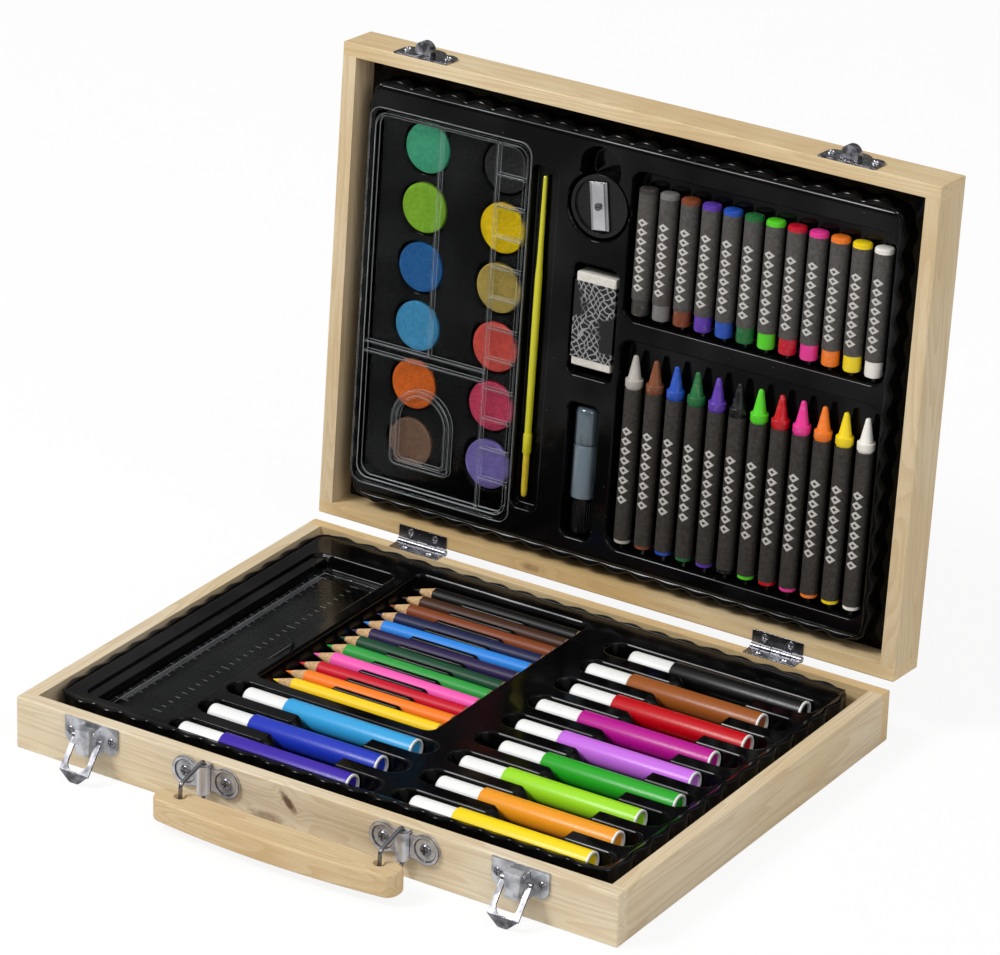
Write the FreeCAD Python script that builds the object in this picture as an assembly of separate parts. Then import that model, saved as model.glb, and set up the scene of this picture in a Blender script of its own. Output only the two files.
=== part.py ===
import FreeCAD, Part
import math
import os

# Hinged wooden art case with its trays, its hardware and the drawing tools that it holds.
# Millimetres. X runs to the right, Y to the back, Z up. The origin is the middle of the base's underside.
# The lid is drawn shut and then turned open about the hinge axis, as it stands in use.

Vec = FreeCAD.Vector
X_AXIS = Vec(1, 0, 0)
Y_AXIS = Vec(0, 1, 0)
Z_AXIS = Vec(0, 0, 1)
os.makedirs("parts", exist_ok=True)

# Wooden case
case_width = 300.0
case_depth = 224.5
base_height = 24.2
lid_height = 21.8
side_rail = 7.2
cross_rail = 6.2
panel_thickness = 3.0
panel_rabbet = 3.4
edge_round = 0.8
cut_overrun = 2.0
tolerance_share = 0.01
corner_limit_share = 0.98

# Fits
seat_clearance = 0.3
running_clearance = 0.05
fixed_clearance = 0.02
drop_in_clearance = 0.5

# Cross recess of every screw, as shares of its head
cross_arm_share = 0.62
cross_half_share = 0.13
cross_depth_share = 0.6

# Hinges
hinge_leaf = 0.5
hinge_fold_gap = 0.1
hinge_width = 25.5
hinge_knuckle_radius = 1.5
hinge_pin_radius = 0.7
hinge_stand_off = 1.8
hinge_knuckles = 5
hinge_centre_shares = (-0.30833, 0.30833)
hinge_screw_pitch = 13.0
hinge_screw_head = 1.9
hinge_screw_shank = 1.0
hinge_screw_length = 8.0
open_angle = 93.55

# Latches and their keepers
latch_centre_shares = (-0.366, 0.347)
latch_plate_width = 27.5
latch_plate_height = 15.5
latch_sheet = 0.8
latch_lobe_radius = 4.4
latch_belly_radius = 7.4
latch_lobe_rise = 2.88
latch_edge_drop = 0.4
latch_screw_pitch = 21.2
latch_screw_drop = 6.4
latch_screw_head = 2.1
latch_screw_head_height = 0.9
latch_screw_shank = 1.0
latch_screw_length = 5.0
lever_width = 7.5
lever_sheet = 0.7
lever_top_drop = 1.2
lever_foot_drop = 13.0
lever_reach = 7.7
lever_pivot_out = 4.5
lever_pivot_drop = 3.4
lever_pin_radius = 0.6
lever_cheek = 1.25
ear_sheet = 0.7
bail_pivot_out = 3.2
bail_pivot_drop = 6.8
bail_angle = 38.7
bail_opening = 10.0
bail_arm = 2.4
bail_sheet = 0.9
bail_length = 15.6
bail_lip = 4.7
bail_lip_nose = 2.2
lip_round_share = 0.8
bail_pin_radius = 0.55
bail_eye_radius = 1.2
knob_radius = 4.2
knob_reach = 7.4
knob_from_rim = 2.6
knob_thickness = 4.2

# Carrying handle
handle_centre_shares = (-0.16833, 0.16167)
handle_height_share = 0.66942
handle_lobe_radius = 6.75
handle_lobe_pitch = 20.6
handle_plate_sheet = 1.5
handle_waist = 10.8
handle_dish_radius = 5.1
handle_dish_depth = 0.6
handle_barrel_radius = 2.9
handle_barrel_out = 2.5
handle_screw_head = 2.7
handle_screw_length = 4.5
wire_radius = 0.9
wire_bend = 2.4
wire_tight_bend = 1.2
wire_sill_bend = 1.8
wire_reach = 19.0
wire_shoulder_rise = 4.2
wire_sill_drop = 13.2
wire_sill_run = 9.6
wire_top_rise = 1.8
wire_foot_drop = 2.2
wire_tail = 4.6
grip_end_margin = 11.0
grip_behind = 5.0
grip_ahead = 7.0
grip_bow = 4.3
grip_drop = 12.0
grip_thickness = 10.8
grip_end_round = 5.6
grip_edge_round = 1.4
grip_hole_radius = 1.6
grip_mouth_radius = 2.8
grip_mouth_depth = 1.6

# Formed trays. From here on, a share of a place or of a length along the case is of half the inner width
# from left to right, or of half the inner depth from front to back.
tray_sheet = 0.8
flute_pitch = 14.04
flute_depth = 2.0
tray_corner = 8.0
base_tray_left_share = -0.9972
base_tray_right_share = 0.96429
base_tray_front_share = -0.92881
base_tray_back_share = 0.9967
base_tray_top = 1.0
lid_tray_left_share = -0.95938
lid_tray_right_share = 0.93838
lid_tray_front_share = -0.93352
lid_tray_back_share = 0.96181
lid_tray_top = 3.5
lid_flange_depth = 14.0

# Markers in the base
marker_radius = 5.45
marker_slack = 16.3
marker_nose_length = 21.6
marker_nose_radius = 4.7
marker_nose_round = 1.6
marker_depth = 4.6
marker_pitch_share = 0.19802
marker_plug_radius = 4.4
marker_plug_recess = 1.0
marker_plug_thickness = 2.0
left_row_shift = 1.0
marker_first_row_share = 0.74493
right_slot_left_share = 0.19818
left_slot_left_share = -0.58403
slot_length_share = 0.72339
divider_share = 0.39
divider_slope = 10.0
channel_end_share = 0.735
right_start_shares = (0.71166, 0.15951, 0.46626, 0.22086, 0.40491, 0.71166, 0.34356, 0.46626, 0.49693)
left_start_shares = (0.47853, 0.2638, 0.23313)

# Pencils in the base
pencil_radius = 3.5
pencil_tip_room = 3.2
pencil_end_room = 0.5
pencil_nose_length = 11.0
pencil_lead_radius = 1.1
pencil_count = 12
pencil_pitch_share = 0.09524
pencil_depth = 5.0
pencil_first_row_share = 0.79679
pencil_turns_deg = (0.4, 0.5, 0.3, 0.9, 1.3, 0.6, -0.7, -0.9, -0.8, 0.3, 0.4, 0.0)
pencil_pocket_left_share = -0.56022
pencil_pocket_right_share = 0.06793
pencil_pocket_margin = 8.0
rib_top = 2.5
rib_left_share = -0.32913
rib_right_share = -0.11905
rib_slope = 7.0
rib_width_share = 0.48

# Ruler in the base
ruler_left_room = 1.6
ruler_right_room = 4.4
ruler_front_room = 4.0
ruler_back_room = 5.5
ruler_thickness = 2.0
ruler_depth = 5.6
ruler_bevel = 1.2
ruler_bevel_width = 6.0
ruler_well_left_share = -0.86415
ruler_well_right_share = -0.61204
ruler_well_front_share = -0.85337
ruler_well_back_share = 0.79208
ruler_ledge_left_share = -0.90756
ruler_ledge_depth = 2.4
finger_notch_radius = 11.0
finger_notch_y_share = -0.07544
pocket_corner = 3.0

# Wax crayons and oil pastels in the lid
stick_count = 12
stick_pitch_share = 0.07374
stick_first_share = 0.04622
crayon_radius = 4.0
crayon_tip_room = 6.5
crayon_end_room = 2.5
crayon_nose_length = 11.0
crayon_tip_radius = 1.1
crayon_shoulder = 0.8
crayon_collar = 4.0
crayon_paper = 0.35
crayon_tail = 2.0
crayon_depth = 7.5
pastel_radius = 4.3
pastel_near_room = 6.9
pastel_end_room = 1.9
pastel_paper = 0.35
pastel_bare_end = 7.5
pastel_bare_top = 0.6
pastel_depth = 7.8
stick_pocket_left_share = 0.0042
stick_pocket_right_share = 0.90336
pastel_pocket_front_share = -0.79585
pastel_pocket_back_share = -0.16596
crayon_pocket_front_share = -0.06601
crayon_pocket_back_share = 0.84866

# Paint pans and the clear palette over them
pan_radius_share = 0.41756
pan_thickness = 2.6
pan_top = 7.6
pan_column_shares = (-0.7521, -0.46289)
pan_first_row_share = -0.66101
pan_pitch_share = 0.26308
pan_rows = 6
palette_left_share = -0.94888
palette_right_share = -0.35364
palette_front_share = -0.80622
palette_back_share = 0.87883
palette_rim = 2.5
palette_sheet = 0.8
palette_floor = 6.2
palette_corner = 6.0
palette_divider_x_share = -0.48039
palette_line_x_share = -0.68908
palette_band_front_share = 0.23951
palette_band_back_share = 0.28289
palette_cells = 12
palette_rib = 0.9
palette_rib_drop = 0.9
thumb_left_share = -0.81232
thumb_right_share = -0.59104
thumb_front_share = 0.39981
thumb_back_share = 0.76002
thumb_wall = 2.4

# Brush
brush_x_share = -0.31373
brush_end_room = 4.0
brush_depth = 6.0
brush_tip_radius = 0.9
brush_neck_radius = 1.3
brush_grip_radius = 1.75
brush_taper_share = 0.305
brush_band_share = 0.80
brush_band_length = 9.0
brush_band_radius = 2.0
brush_cap_radius = 1.5
brush_cap_round_share = 0.8
brush_channel_left_share = -0.35014
brush_channel_right_share = -0.26331
brush_channel_front_share = -0.71476
brush_channel_back_share = 0.78454

# Sharpener
sharpener_x_share = -0.11204
sharpener_y_share = -0.60915
sharpener_radius_share = 0.74869
sharpener_top = 4.6
sharpener_height_share = 0.47872
sharpener_recess_share = 0.86713
sharpener_recess_depth = 1.2
sharpener_block_width_share = 0.62937
sharpener_block_length_share = 1.53846
sharpener_block_height = 3.4
sharpener_block_turn = -7.5
sharpener_blade_width_share = 0.41958
sharpener_blade_length_share = 1.47692
sharpener_blade_thickness = 0.6
sharpener_screw_radius = 1.7
sharpener_screw_height = 0.8
sharpener_slot_half_share = 0.15
sharpener_slot_depth_share = 0.6
sharpener_notch_share = 0.65734
sharpener_notch_y_share = -0.76756

# Eraser
eraser_left_share = -0.17507
eraser_width_share = 0.14706
eraser_front_share = -0.31306
eraser_length_share = 0.40924
eraser_height_share = 0.47872
eraser_top = 4.0
eraser_sleeve = 0.4
eraser_bare_end = 4.0
eraser_pocket_margin = 3.4

# Glue stick
glue_x_share = -0.11204
glue_front_share = 0.27346
glue_radius_share = 0.32447
glue_room = 1.0
glue_cap_round_share = 0.4
glue_cap_length_share = 0.16502
glue_body_length_share = 0.24045
glue_knob_radius = 4.2
glue_knob_length_share = 0.1603
glue_depth_share = 0.50532

# Values that follow from the ones above
tolerance = edge_round * tolerance_share
rim_gap = 2 * hinge_leaf + hinge_fold_gap
lid_rim = base_height + rim_gap
front_face = -case_depth / 2
back_face = case_depth / 2
hinge_y = back_face + hinge_stand_off
hinge_z = base_height + rim_gap / 2
inner_x = case_width / 2 - side_rail
inner_y = case_depth / 2 - cross_rail
base_floor = base_height - panel_thickness
lid_floor = lid_height - panel_thickness

# Places of the hardware
hinge_centres = tuple(share * case_width for share in hinge_centre_shares)
latch_centres = tuple(share * case_width for share in latch_centre_shares)
handle_plate_centres = tuple(share * case_width for share in handle_centre_shares)
lever_top = base_height - lever_top_drop
lever_foot = base_height - lever_foot_drop
lever_pivot_height = base_height - lever_pivot_drop
bail_pivot_height = base_height - bail_pivot_drop
handle_plate_height = handle_height_share * base_height
wire_shoulder = handle_plate_height + wire_shoulder_rise
wire_sill = handle_plate_height - wire_sill_drop
grip_bottom = handle_plate_height - grip_drop
grip_back = wire_reach - grip_behind
grip_end_front = wire_reach + grip_ahead
grip_front = grip_end_front + grip_bow

# Places from left to right
base_tray_left = base_tray_left_share * inner_x
base_tray_right = base_tray_right_share * inner_x
lid_tray_left = lid_tray_left_share * inner_x
lid_tray_right = lid_tray_right_share * inner_x
right_slot_left = right_slot_left_share * inner_x
left_slot_left = left_slot_left_share * inner_x
slot_length = slot_length_share * inner_x
pencil_pocket_left = pencil_pocket_left_share * inner_x
pencil_pocket_right = pencil_pocket_right_share * inner_x
rib_left = rib_left_share * inner_x
rib_right = rib_right_share * inner_x
ruler_well_left = ruler_well_left_share * inner_x
ruler_well_right = ruler_well_right_share * inner_x
ruler_ledge_left = ruler_ledge_left_share * inner_x
stick_pitch = stick_pitch_share * inner_x
stick_first = stick_first_share * inner_x
stick_pocket_left = stick_pocket_left_share * inner_x
stick_pocket_right = stick_pocket_right_share * inner_x
palette_left = palette_left_share * inner_x
palette_right = palette_right_share * inner_x
thumb_left = thumb_left_share * inner_x
thumb_right = thumb_right_share * inner_x
brush_x = brush_x_share * inner_x
brush_channel_left = brush_channel_left_share * inner_x
brush_channel_right = brush_channel_right_share * inner_x
sharpener_x = sharpener_x_share * inner_x
eraser_left = eraser_left_share * inner_x
eraser_width = eraser_width_share * inner_x
glue_x = glue_x_share * inner_x
palette_divider_x = palette_divider_x_share * inner_x
palette_line_x = palette_line_x_share * inner_x
pan_columns = tuple(share * inner_x for share in pan_column_shares)

# Places from front to back
base_tray_front = base_tray_front_share * inner_y
base_tray_back = base_tray_back_share * inner_y
lid_tray_front = lid_tray_front_share * inner_y
lid_tray_back = lid_tray_back_share * inner_y
marker_pitch = marker_pitch_share * inner_y
marker_first_row = marker_first_row_share * inner_y
pencil_pitch = pencil_pitch_share * inner_y
pencil_first_row = pencil_first_row_share * inner_y
ruler_well_front = ruler_well_front_share * inner_y
ruler_well_back = ruler_well_back_share * inner_y
finger_notch_y = finger_notch_y_share * inner_y
pastel_pocket_front = pastel_pocket_front_share * inner_y
pastel_pocket_back = pastel_pocket_back_share * inner_y
crayon_pocket_front = crayon_pocket_front_share * inner_y
crayon_pocket_back = crayon_pocket_back_share * inner_y
pan_first_row = pan_first_row_share * inner_y
pan_pitch = pan_pitch_share * inner_y
palette_front = palette_front_share * inner_y
palette_back = palette_back_share * inner_y
palette_band_front = palette_band_front_share * inner_y
palette_band_back = palette_band_back_share * inner_y
thumb_front = thumb_front_share * inner_y
thumb_back = thumb_back_share * inner_y
sharpener_y = sharpener_y_share * inner_y
sharpener_notch_y = sharpener_notch_y_share * inner_y
eraser_front = eraser_front_share * inner_y
eraser_length = eraser_length_share * inner_y
glue_front = glue_front_share * inner_y
glue_cap_length = glue_cap_length_share * inner_y
glue_body_length = glue_body_length_share * inner_y
glue_knob_length = glue_knob_length_share * inner_y
brush_channel_front = brush_channel_front_share * inner_y
brush_channel_back = brush_channel_back_share * inner_y

# Pieces that take their size from the recess that they lie in
marker_length = slot_length - marker_slack
pencil_tip = pencil_pocket_left + pencil_tip_room
pencil_length = pencil_pocket_right - pencil_tip - pencil_end_room
ruler_left = ruler_well_left + ruler_left_room
ruler_front = ruler_well_front + ruler_front_room
ruler_width = ruler_well_right - ruler_left - ruler_right_room
ruler_length = ruler_well_back - ruler_front - ruler_back_room
crayon_start = crayon_pocket_front + crayon_tip_room
crayon_length = crayon_pocket_back - crayon_start - crayon_end_room
pastel_start = pastel_pocket_front + pastel_near_room
pastel_length = pastel_pocket_back - pastel_start - pastel_end_room
pan_radius = pan_radius_share * pan_pitch
brush_front = brush_channel_front + brush_end_room
brush_length = brush_channel_back - brush_front - brush_end_room
sharpener_radius = sharpener_radius_share * (stick_pocket_left - brush_channel_right) / 2
sharpener_height = sharpener_height_share * lid_floor
eraser_height = eraser_height_share * lid_floor
glue_radius = glue_radius_share * lid_floor
glue_depth = glue_depth_share * lid_floor

# Floors of the recesses
slot_half = marker_radius + drop_in_clearance
slot_floor = marker_depth + marker_radius + seat_clearance
pencil_floor = pencil_depth + pencil_radius + seat_clearance
ruler_floor = ruler_depth + ruler_thickness
pan_floor = palette_floor + palette_sheet + seat_clearance

parts = {}


def keep(name, shape):
    """Writes one piece, or one group of alike pieces, under its name."""
    parts[name] = shape
    shape.exportStep("parts/" + name + ".step")


def near(value, target):
    """Whether two lengths are the same but for rounding."""
    return abs(value - target) < tolerance


def box(x0, x1, y0, y1, z0, z1):
    """A block between two corners."""
    low = Vec(min(x0, x1), min(y0, y1), min(z0, z1))
    return Part.makeBox(abs(x1 - x0), abs(y1 - y0), abs(z1 - z0), low)


def rod(start, direction, radius, length):
    """A round bar from a point along a direction."""
    return Part.makeCylinder(radius, length, start, direction)


def joined(shapes):
    """One solid from shapes that touch or overlap."""
    first, rest = shapes[0], shapes[1:]
    whole = first.multiFuse(rest) if rest else first
    return whole.removeSplitter()


def group(shapes):
    """Separate solids that share one name."""
    solids = [solid for shape in shapes for solid in shape.Solids]
    return Part.makeCompound(solids)


def base_z(depth):
    """Height of a level that lies so deep below the base's rim."""
    return base_height - depth


def lid_z(depth):
    """Height, with the lid shut, of a level that lies so deep behind the lid's rim."""
    return lid_rim + depth


def opened(shape):
    """A piece of the lid, turned from shut to open."""
    turned = shape.copy()
    turned.rotate(Vec(0, hinge_y, hinge_z), X_AXIS, -open_angle)
    return turned


def arc(a, b, c):
    """An edge through three points."""
    return Part.Arc(a, b, c).toShape()


def prism(wire, z_of, top, foot):
    """A wall-sided solid on an outline drawn at height zero, between two depths."""
    low = min(z_of(top), z_of(foot))
    face = Part.Face(wire)
    face.translate(Vec(0, 0, low))
    return face.extrude(Vec(0, 0, abs(foot - top)))


def rounded_outline(x0, x1, y0, y1, radius):
    """A rectangle with round corners, in the plane of height zero."""
    r = min(radius, corner_limit_share * (x1 - x0) / 2, corner_limit_share * (y1 - y0) / 2)
    k = r * (1 - math.sqrt(0.5))
    corners = [(x1 - r, y0, x1 - k, y0 + k, x1, y0 + r), (x1, y1 - r, x1 - k, y1 - k, x1 - r, y1),
               (x0 + r, y1, x0 + k, y1 - k, x0, y1 - r), (x0, y0 + r, x0 + k, y0 + k, x0 + r, y0)]
    edges = []
    for n, (ax, ay, bx, by, cx, cy) in enumerate(corners):
        last = corners[n - 1]
        start = Vec(last[4], last[5], 0)
        edges.append(Part.makeLine(start, Vec(ax, ay, 0)))
        edges.append(arc(Vec(ax, ay, 0), Vec(bx, by, 0), Vec(cx, cy, 0)))
    return Part.Wire(edges)


def pocket(x0, x1, y0, y1, radius, z_of, top, foot):
    """A round-cornered recess."""
    return prism(rounded_outline(x0, x1, y0, y1, radius), z_of, top, foot)


def fluted_outline(x0, x1, y0, y1):
    """A rectangle whose sides are rows of shallow outward flutes."""
    corners = [Vec(x0, y0, 0), Vec(x1, y0, 0), Vec(x1, y1, 0), Vec(x0, y1, 0)]
    edges = []
    for n, start in enumerate(corners):
        end = corners[(n + 1) % 4]
        run = end - start
        along = Vec(run).normalize()
        outward = Vec(along.y, -along.x, 0)
        count = max(1, round(run.Length / flute_pitch))
        step = run.Length / count
        for i in range(count):
            a = start + along * (step * i)
            b = start + along * (step * (i + 1))
            middle = (a + b) * 0.5 + outward * flute_depth
            edges.append(arc(a, middle, b))
    return Part.Wire(edges)


def screw(point, direction, head_radius, head_height, shank_radius, length):
    """A cross-head screw: its head stands on the point, its shank goes against the direction.

    The direction is square to X.
    """
    head = rod(point, direction, head_radius, head_height)
    shank = rod(point - direction * length, direction, shank_radius, length)
    solid = joined([head, shank])
    other = direction.cross(X_AXIS)
    arm = head_radius * cross_arm_share
    half = head_radius * cross_half_share
    depth = head_height * cross_depth_share
    for one, two in ((X_AXIS, other), (other, X_AXIS)):
        corner = point + direction * (head_height - depth) - one * arm - two * half
        along = one * (2 * arm)
        across = two * (2 * half)
        outline = [corner, corner + along, corner + along + across, corner + across, corner]
        face = Part.Face(Part.makePolygon(outline))
        solid = solid.cut(face.extrude(direction * (depth + cut_overrun)))
    return solid


def screw_hole(point, direction, shank_radius, length):
    """The pilot hole that a screw's shank sits in."""
    reach = length + fixed_clearance
    return rod(point - direction * reach, direction, shank_radius + fixed_clearance, reach + cut_overrun)


def pipe(points, bends, radius):
    """A round wire along straight runs joined by bends."""
    edges = []
    here = points[0]
    for i in range(1, len(points) - 1):
        corner = points[i]
        back = Vec(points[i - 1] - corner).normalize()
        ahead = Vec(points[i + 1] - corner).normalize()
        half = back.getAngle(ahead) / 2
        reach = bends[i - 1] / math.tan(half)
        a = corner + back * reach
        b = corner + ahead * reach
        inward = Vec(back + ahead).normalize()
        middle = corner + inward * (bends[i - 1] / math.sin(half) - bends[i - 1])
        edges.append(Part.makeLine(here, a))
        edges.append(arc(a, middle, b))
        here = b
    edges.append(Part.makeLine(here, points[-1]))
    path = Part.Wire(edges)
    start = Vec(points[1] - points[0]).normalize()
    ring = Part.Wire([Part.makeCircle(radius, points[0], start)])
    return path.makePipeShell([ring], True, False)


# Wooden case

def rail_solids(rim, outer):
    """The four rails of one half of the case, with the rabbet for its panel."""
    direction = 1 if outer > rim else -1
    step = outer - direction * panel_thickness
    beyond = outer + direction * cut_overrun
    seat_x = inner_x + panel_rabbet
    seat_y = inner_y + panel_rabbet
    seat = box(-seat_x, seat_x, -seat_y, seat_y, step, beyond)
    rails = {
        "front_rail": box(-case_width / 2, case_width / 2, front_face, -inner_y, rim, outer),
        "back_rail": box(-case_width / 2, case_width / 2, inner_y, back_face, rim, outer),
        "left_rail": box(-case_width / 2, -inner_x, -inner_y, inner_y, rim, outer),
        "right_rail": box(inner_x, case_width / 2, -inner_y, inner_y, rim, outer),
    }
    return {name: softened(shape).cut(seat) for name, shape in rails.items()}


def softened(rail):
    """A rail with its outside edges rounded, and its joint edges left sharp."""
    chosen = []
    for edge in rail.Edges:
        middle = edge.CenterOfMass
        outside_x = near(abs(middle.x), case_width / 2)
        outside_y = near(abs(middle.y), case_depth / 2)
        ends_at_joint = near(abs(middle.y), inner_y)
        if (outside_x or outside_y) and not ends_at_joint:
            chosen.append(edge)
    return rail.makeFillet(edge_round, chosen)


def panel_solid(outer, direction):
    """The thin panel that closes one half of the case."""
    x = inner_x + panel_rabbet
    y = inner_y + panel_rabbet
    return box(-x, x, -y, y, outer, outer - direction * panel_thickness)


def hinge_screw_points(level):
    """Where the hinge screws pass the rim, on both hinges."""
    y = back_face - cross_rail / 2
    return [Vec(cx + side * hinge_screw_pitch / 2, y, level) for cx in hinge_centres for side in (-1, 1)]


def front_point(centre, along, out, height):
    """A point on the hardware of the front: beside a centre, out from the face, at a height."""
    return Vec(centre + along, front_face - out, height)


def latch_screw_points(edge, direction):
    """Where the screws of the latch plates, or of the keepers, meet the plate's face."""
    height = edge + direction * latch_screw_drop
    return [front_point(cx, side * latch_screw_pitch / 2, latch_sheet, height)
            for cx in latch_centres for side in (-1, 1)]


def handle_screw_points():
    """Where the screws of the handle plates meet the floor of their dishes."""
    out = handle_plate_sheet - handle_dish_depth
    return [front_point(cx, side * handle_lobe_pitch / 2, out, handle_plate_height)
            for cx in handle_plate_centres for side in (-1, 1)]


def build_case():
    """Rails and panels of both halves, drilled for their screws."""
    base_rails = rail_solids(base_height, 0)
    lid_rails = rail_solids(lid_rim, lid_rim + lid_height)
    plate_top = base_height - latch_edge_drop
    keeper_edge = lid_rim + latch_edge_drop
    for point in latch_screw_points(plate_top, -1):
        hole = screw_hole(point, -Y_AXIS, latch_screw_shank, latch_screw_length)
        base_rails["front_rail"] = base_rails["front_rail"].cut(hole)
    for point in handle_screw_points():
        hole = screw_hole(point, -Y_AXIS, latch_screw_shank, handle_screw_length)
        base_rails["front_rail"] = base_rails["front_rail"].cut(hole)
    for point in latch_screw_points(keeper_edge, 1):
        hole = screw_hole(point, -Y_AXIS, latch_screw_shank, latch_screw_length)
        lid_rails["front_rail"] = lid_rails["front_rail"].cut(hole)
    for point in hinge_screw_points(base_height):
        hole = screw_hole(point, Z_AXIS, hinge_screw_shank, hinge_screw_length)
        base_rails["back_rail"] = base_rails["back_rail"].cut(hole)
    for point in hinge_screw_points(lid_rim):
        hole = screw_hole(point, -Z_AXIS, hinge_screw_shank, hinge_screw_length)
        lid_rails["back_rail"] = lid_rails["back_rail"].cut(hole)
    for name, shape in base_rails.items():
        keep("base_" + name, shape)
    for name, shape in lid_rails.items():
        keep("lid_" + name, opened(shape))
    keep("base_panel", panel_solid(0, -1))
    keep("lid_panel", opened(panel_solid(lid_rim + lid_height, 1)))


# Hinges

def hinge_leaf_solid(centre, level, own_first):
    """One leaf with its knuckles. Knuckles alternate between the two leaves."""
    half = hinge_width / 2
    plate = box(centre - half, centre + half, back_face - cross_rail + seat_clearance, hinge_y,
                level, level + hinge_leaf)
    pitch = hinge_width / hinge_knuckles
    room = hinge_knuckle_radius + seat_clearance
    knuckles = []
    trim = seat_clearance / 2
    for i in range(hinge_knuckles):
        x0 = centre - half + i * pitch
        if (i % 2 == 0) == own_first:
            start = Vec(x0 + (trim if i else 0), hinge_y, hinge_z)
            ends = (1 if i else 0) + (1 if i < hinge_knuckles - 1 else 0)
            knuckles.append(rod(start, X_AXIS, hinge_knuckle_radius, pitch - trim * ends))
        else:
            start = Vec(x0 - trim, hinge_y, hinge_z)
            plate = plate.cut(rod(start, X_AXIS, room, pitch + 2 * trim))
    solid = joined([plate] + knuckles)
    bore = rod(Vec(centre - half - cut_overrun, hinge_y, hinge_z), X_AXIS,
               hinge_pin_radius + running_clearance, hinge_width + 2 * cut_overrun)
    return solid.cut(bore)


def drilled_leaf(leaf, points):
    """A leaf with the holes that its screws fill."""
    for point in points:
        start = point - Z_AXIS * cut_overrun
        leaf = leaf.cut(rod(start, Z_AXIS, hinge_screw_head + fixed_clearance, 2 * cut_overrun))
    return leaf


def build_hinges():
    """Two butt hinges, their pins and their screws."""
    pins = []
    for name, centre in zip(("left", "right"), hinge_centres):
        base_leaf = hinge_leaf_solid(centre, base_height, True)
        lid_leaf = hinge_leaf_solid(centre, lid_rim - hinge_leaf, False)
        keep("hinge_" + name + "_base_leaf", drilled_leaf(base_leaf, hinge_screw_points(base_height)))
        keep("hinge_" + name + "_lid_leaf", opened(drilled_leaf(lid_leaf, hinge_screw_points(lid_rim))))
        start = Vec(centre - hinge_width / 2, hinge_y, hinge_z)
        pins.append(rod(start, X_AXIS, hinge_pin_radius, hinge_width))
    keep("hinge_pins", group(pins))
    head = hinge_leaf
    keep("hinge_base_screws", group([
        screw(p, Z_AXIS, hinge_screw_head, head, hinge_screw_shank, hinge_screw_length)
        for p in hinge_screw_points(base_height)]))
    keep("hinge_lid_screws", group([
        opened(screw(p, -Z_AXIS, hinge_screw_head, head, hinge_screw_shank, hinge_screw_length))
        for p in hinge_screw_points(lid_rim)]))


# Latches and keepers

def lobed_plate(centre, edge, direction):
    """A sheet plate with one straight edge, a belly in its middle and a lobe at each end."""
    half = latch_plate_width / 2
    shoulder = edge + direction * (latch_plate_height - latch_belly_radius)
    lobe = edge + direction * (latch_plate_height - latch_lobe_radius - latch_lobe_rise)
    start = front_point(centre, 0, 0, shoulder)
    pieces = [box(centre - half, centre + half, front_face, front_face - latch_sheet, edge, lobe),
              rod(start, -Y_AXIS, latch_belly_radius, latch_sheet)]
    for side in (-1, 1):
        spot = front_point(centre, side * (half - latch_lobe_radius), 0, lobe)
        pieces.append(rod(spot, -Y_AXIS, latch_lobe_radius, latch_sheet))
    return joined(pieces)


def drilled_plate(plate, points):
    """A plate with clearance holes for its screws."""
    radius = latch_screw_shank + fixed_clearance
    for point in points:
        start = point + Y_AXIS * (latch_sheet + cut_overrun)
        plate = plate.cut(rod(start, -Y_AXIS, radius, latch_sheet + 2 * cut_overrun))
    return plate


def latch_plate_solid(centre):
    """The lower plate, with two ears that hold the lever's pin."""
    plate = lobed_plate(centre, base_height - latch_edge_drop, -1)
    pieces = [drilled_plate(plate, latch_screw_points(base_height - latch_edge_drop, -1))]
    gap = lever_width / 2 + seat_clearance
    for side in (-1, 1):
        inside = centre + side * gap
        outside = centre + side * (gap + ear_sheet)
        pieces.append(box(inside, outside, front_face - latch_sheet, front_face - lever_pivot_out,
                          lever_pivot_height - lever_cheek, lever_pivot_height + lever_cheek))
        eye = Vec(min(inside, outside), front_face - lever_pivot_out, lever_pivot_height)
        pieces.append(rod(eye, X_AXIS, lever_cheek, ear_sheet))
    bore = rod(front_point(centre, -latch_plate_width, lever_pivot_out, lever_pivot_height), X_AXIS,
               lever_pin_radius + fixed_clearance, 2 * latch_plate_width)
    return joined(pieces).cut(bore)


def lever_solid(centre):
    """The folded lever: a front, a top and two cheeks that carry both pins."""
    half = lever_width / 2
    cheek_points = [(lever_reach, lever_foot), (lever_reach, lever_top),
                    (lever_pivot_out - lever_cheek, lever_top),
                    (bail_pivot_out - lever_cheek, bail_pivot_height + lever_cheek),
                    (bail_pivot_out - lever_cheek, bail_pivot_height - lever_cheek),
                    (lever_pivot_out, bail_pivot_height - 2 * lever_cheek),
                    (lever_reach - lever_sheet, lever_foot)]
    outline = [front_point(centre, -half, out, height) for out, height in cheek_points]
    block = Part.Face(Part.makePolygon(outline + [outline[0]])).extrude(X_AXIS * lever_width)
    hollow = box(centre - half + lever_sheet, centre + half - lever_sheet,
                 front_face, front_face - lever_reach + lever_sheet,
                 lever_foot - cut_overrun, lever_top - lever_sheet)
    solid = block.cut(hollow)
    folds = [edge for edge in solid.Edges
             if near(edge.CenterOfMass.y, front_face - lever_reach)
             and near(abs(edge.CenterOfMass.x - centre), half)
             and near(edge.Length, lever_top - lever_foot)]
    solid = solid.makeFillet(lever_sheet, folds)
    for out, height, radius in ((lever_pivot_out, lever_pivot_height, lever_pin_radius + running_clearance),
                                (bail_pivot_out, bail_pivot_height, bail_pin_radius + fixed_clearance)):
        start = front_point(centre, -lever_width, out, height)
        solid = solid.cut(rod(start, X_AXIS, radius, 2 * lever_width))
    return solid


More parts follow.
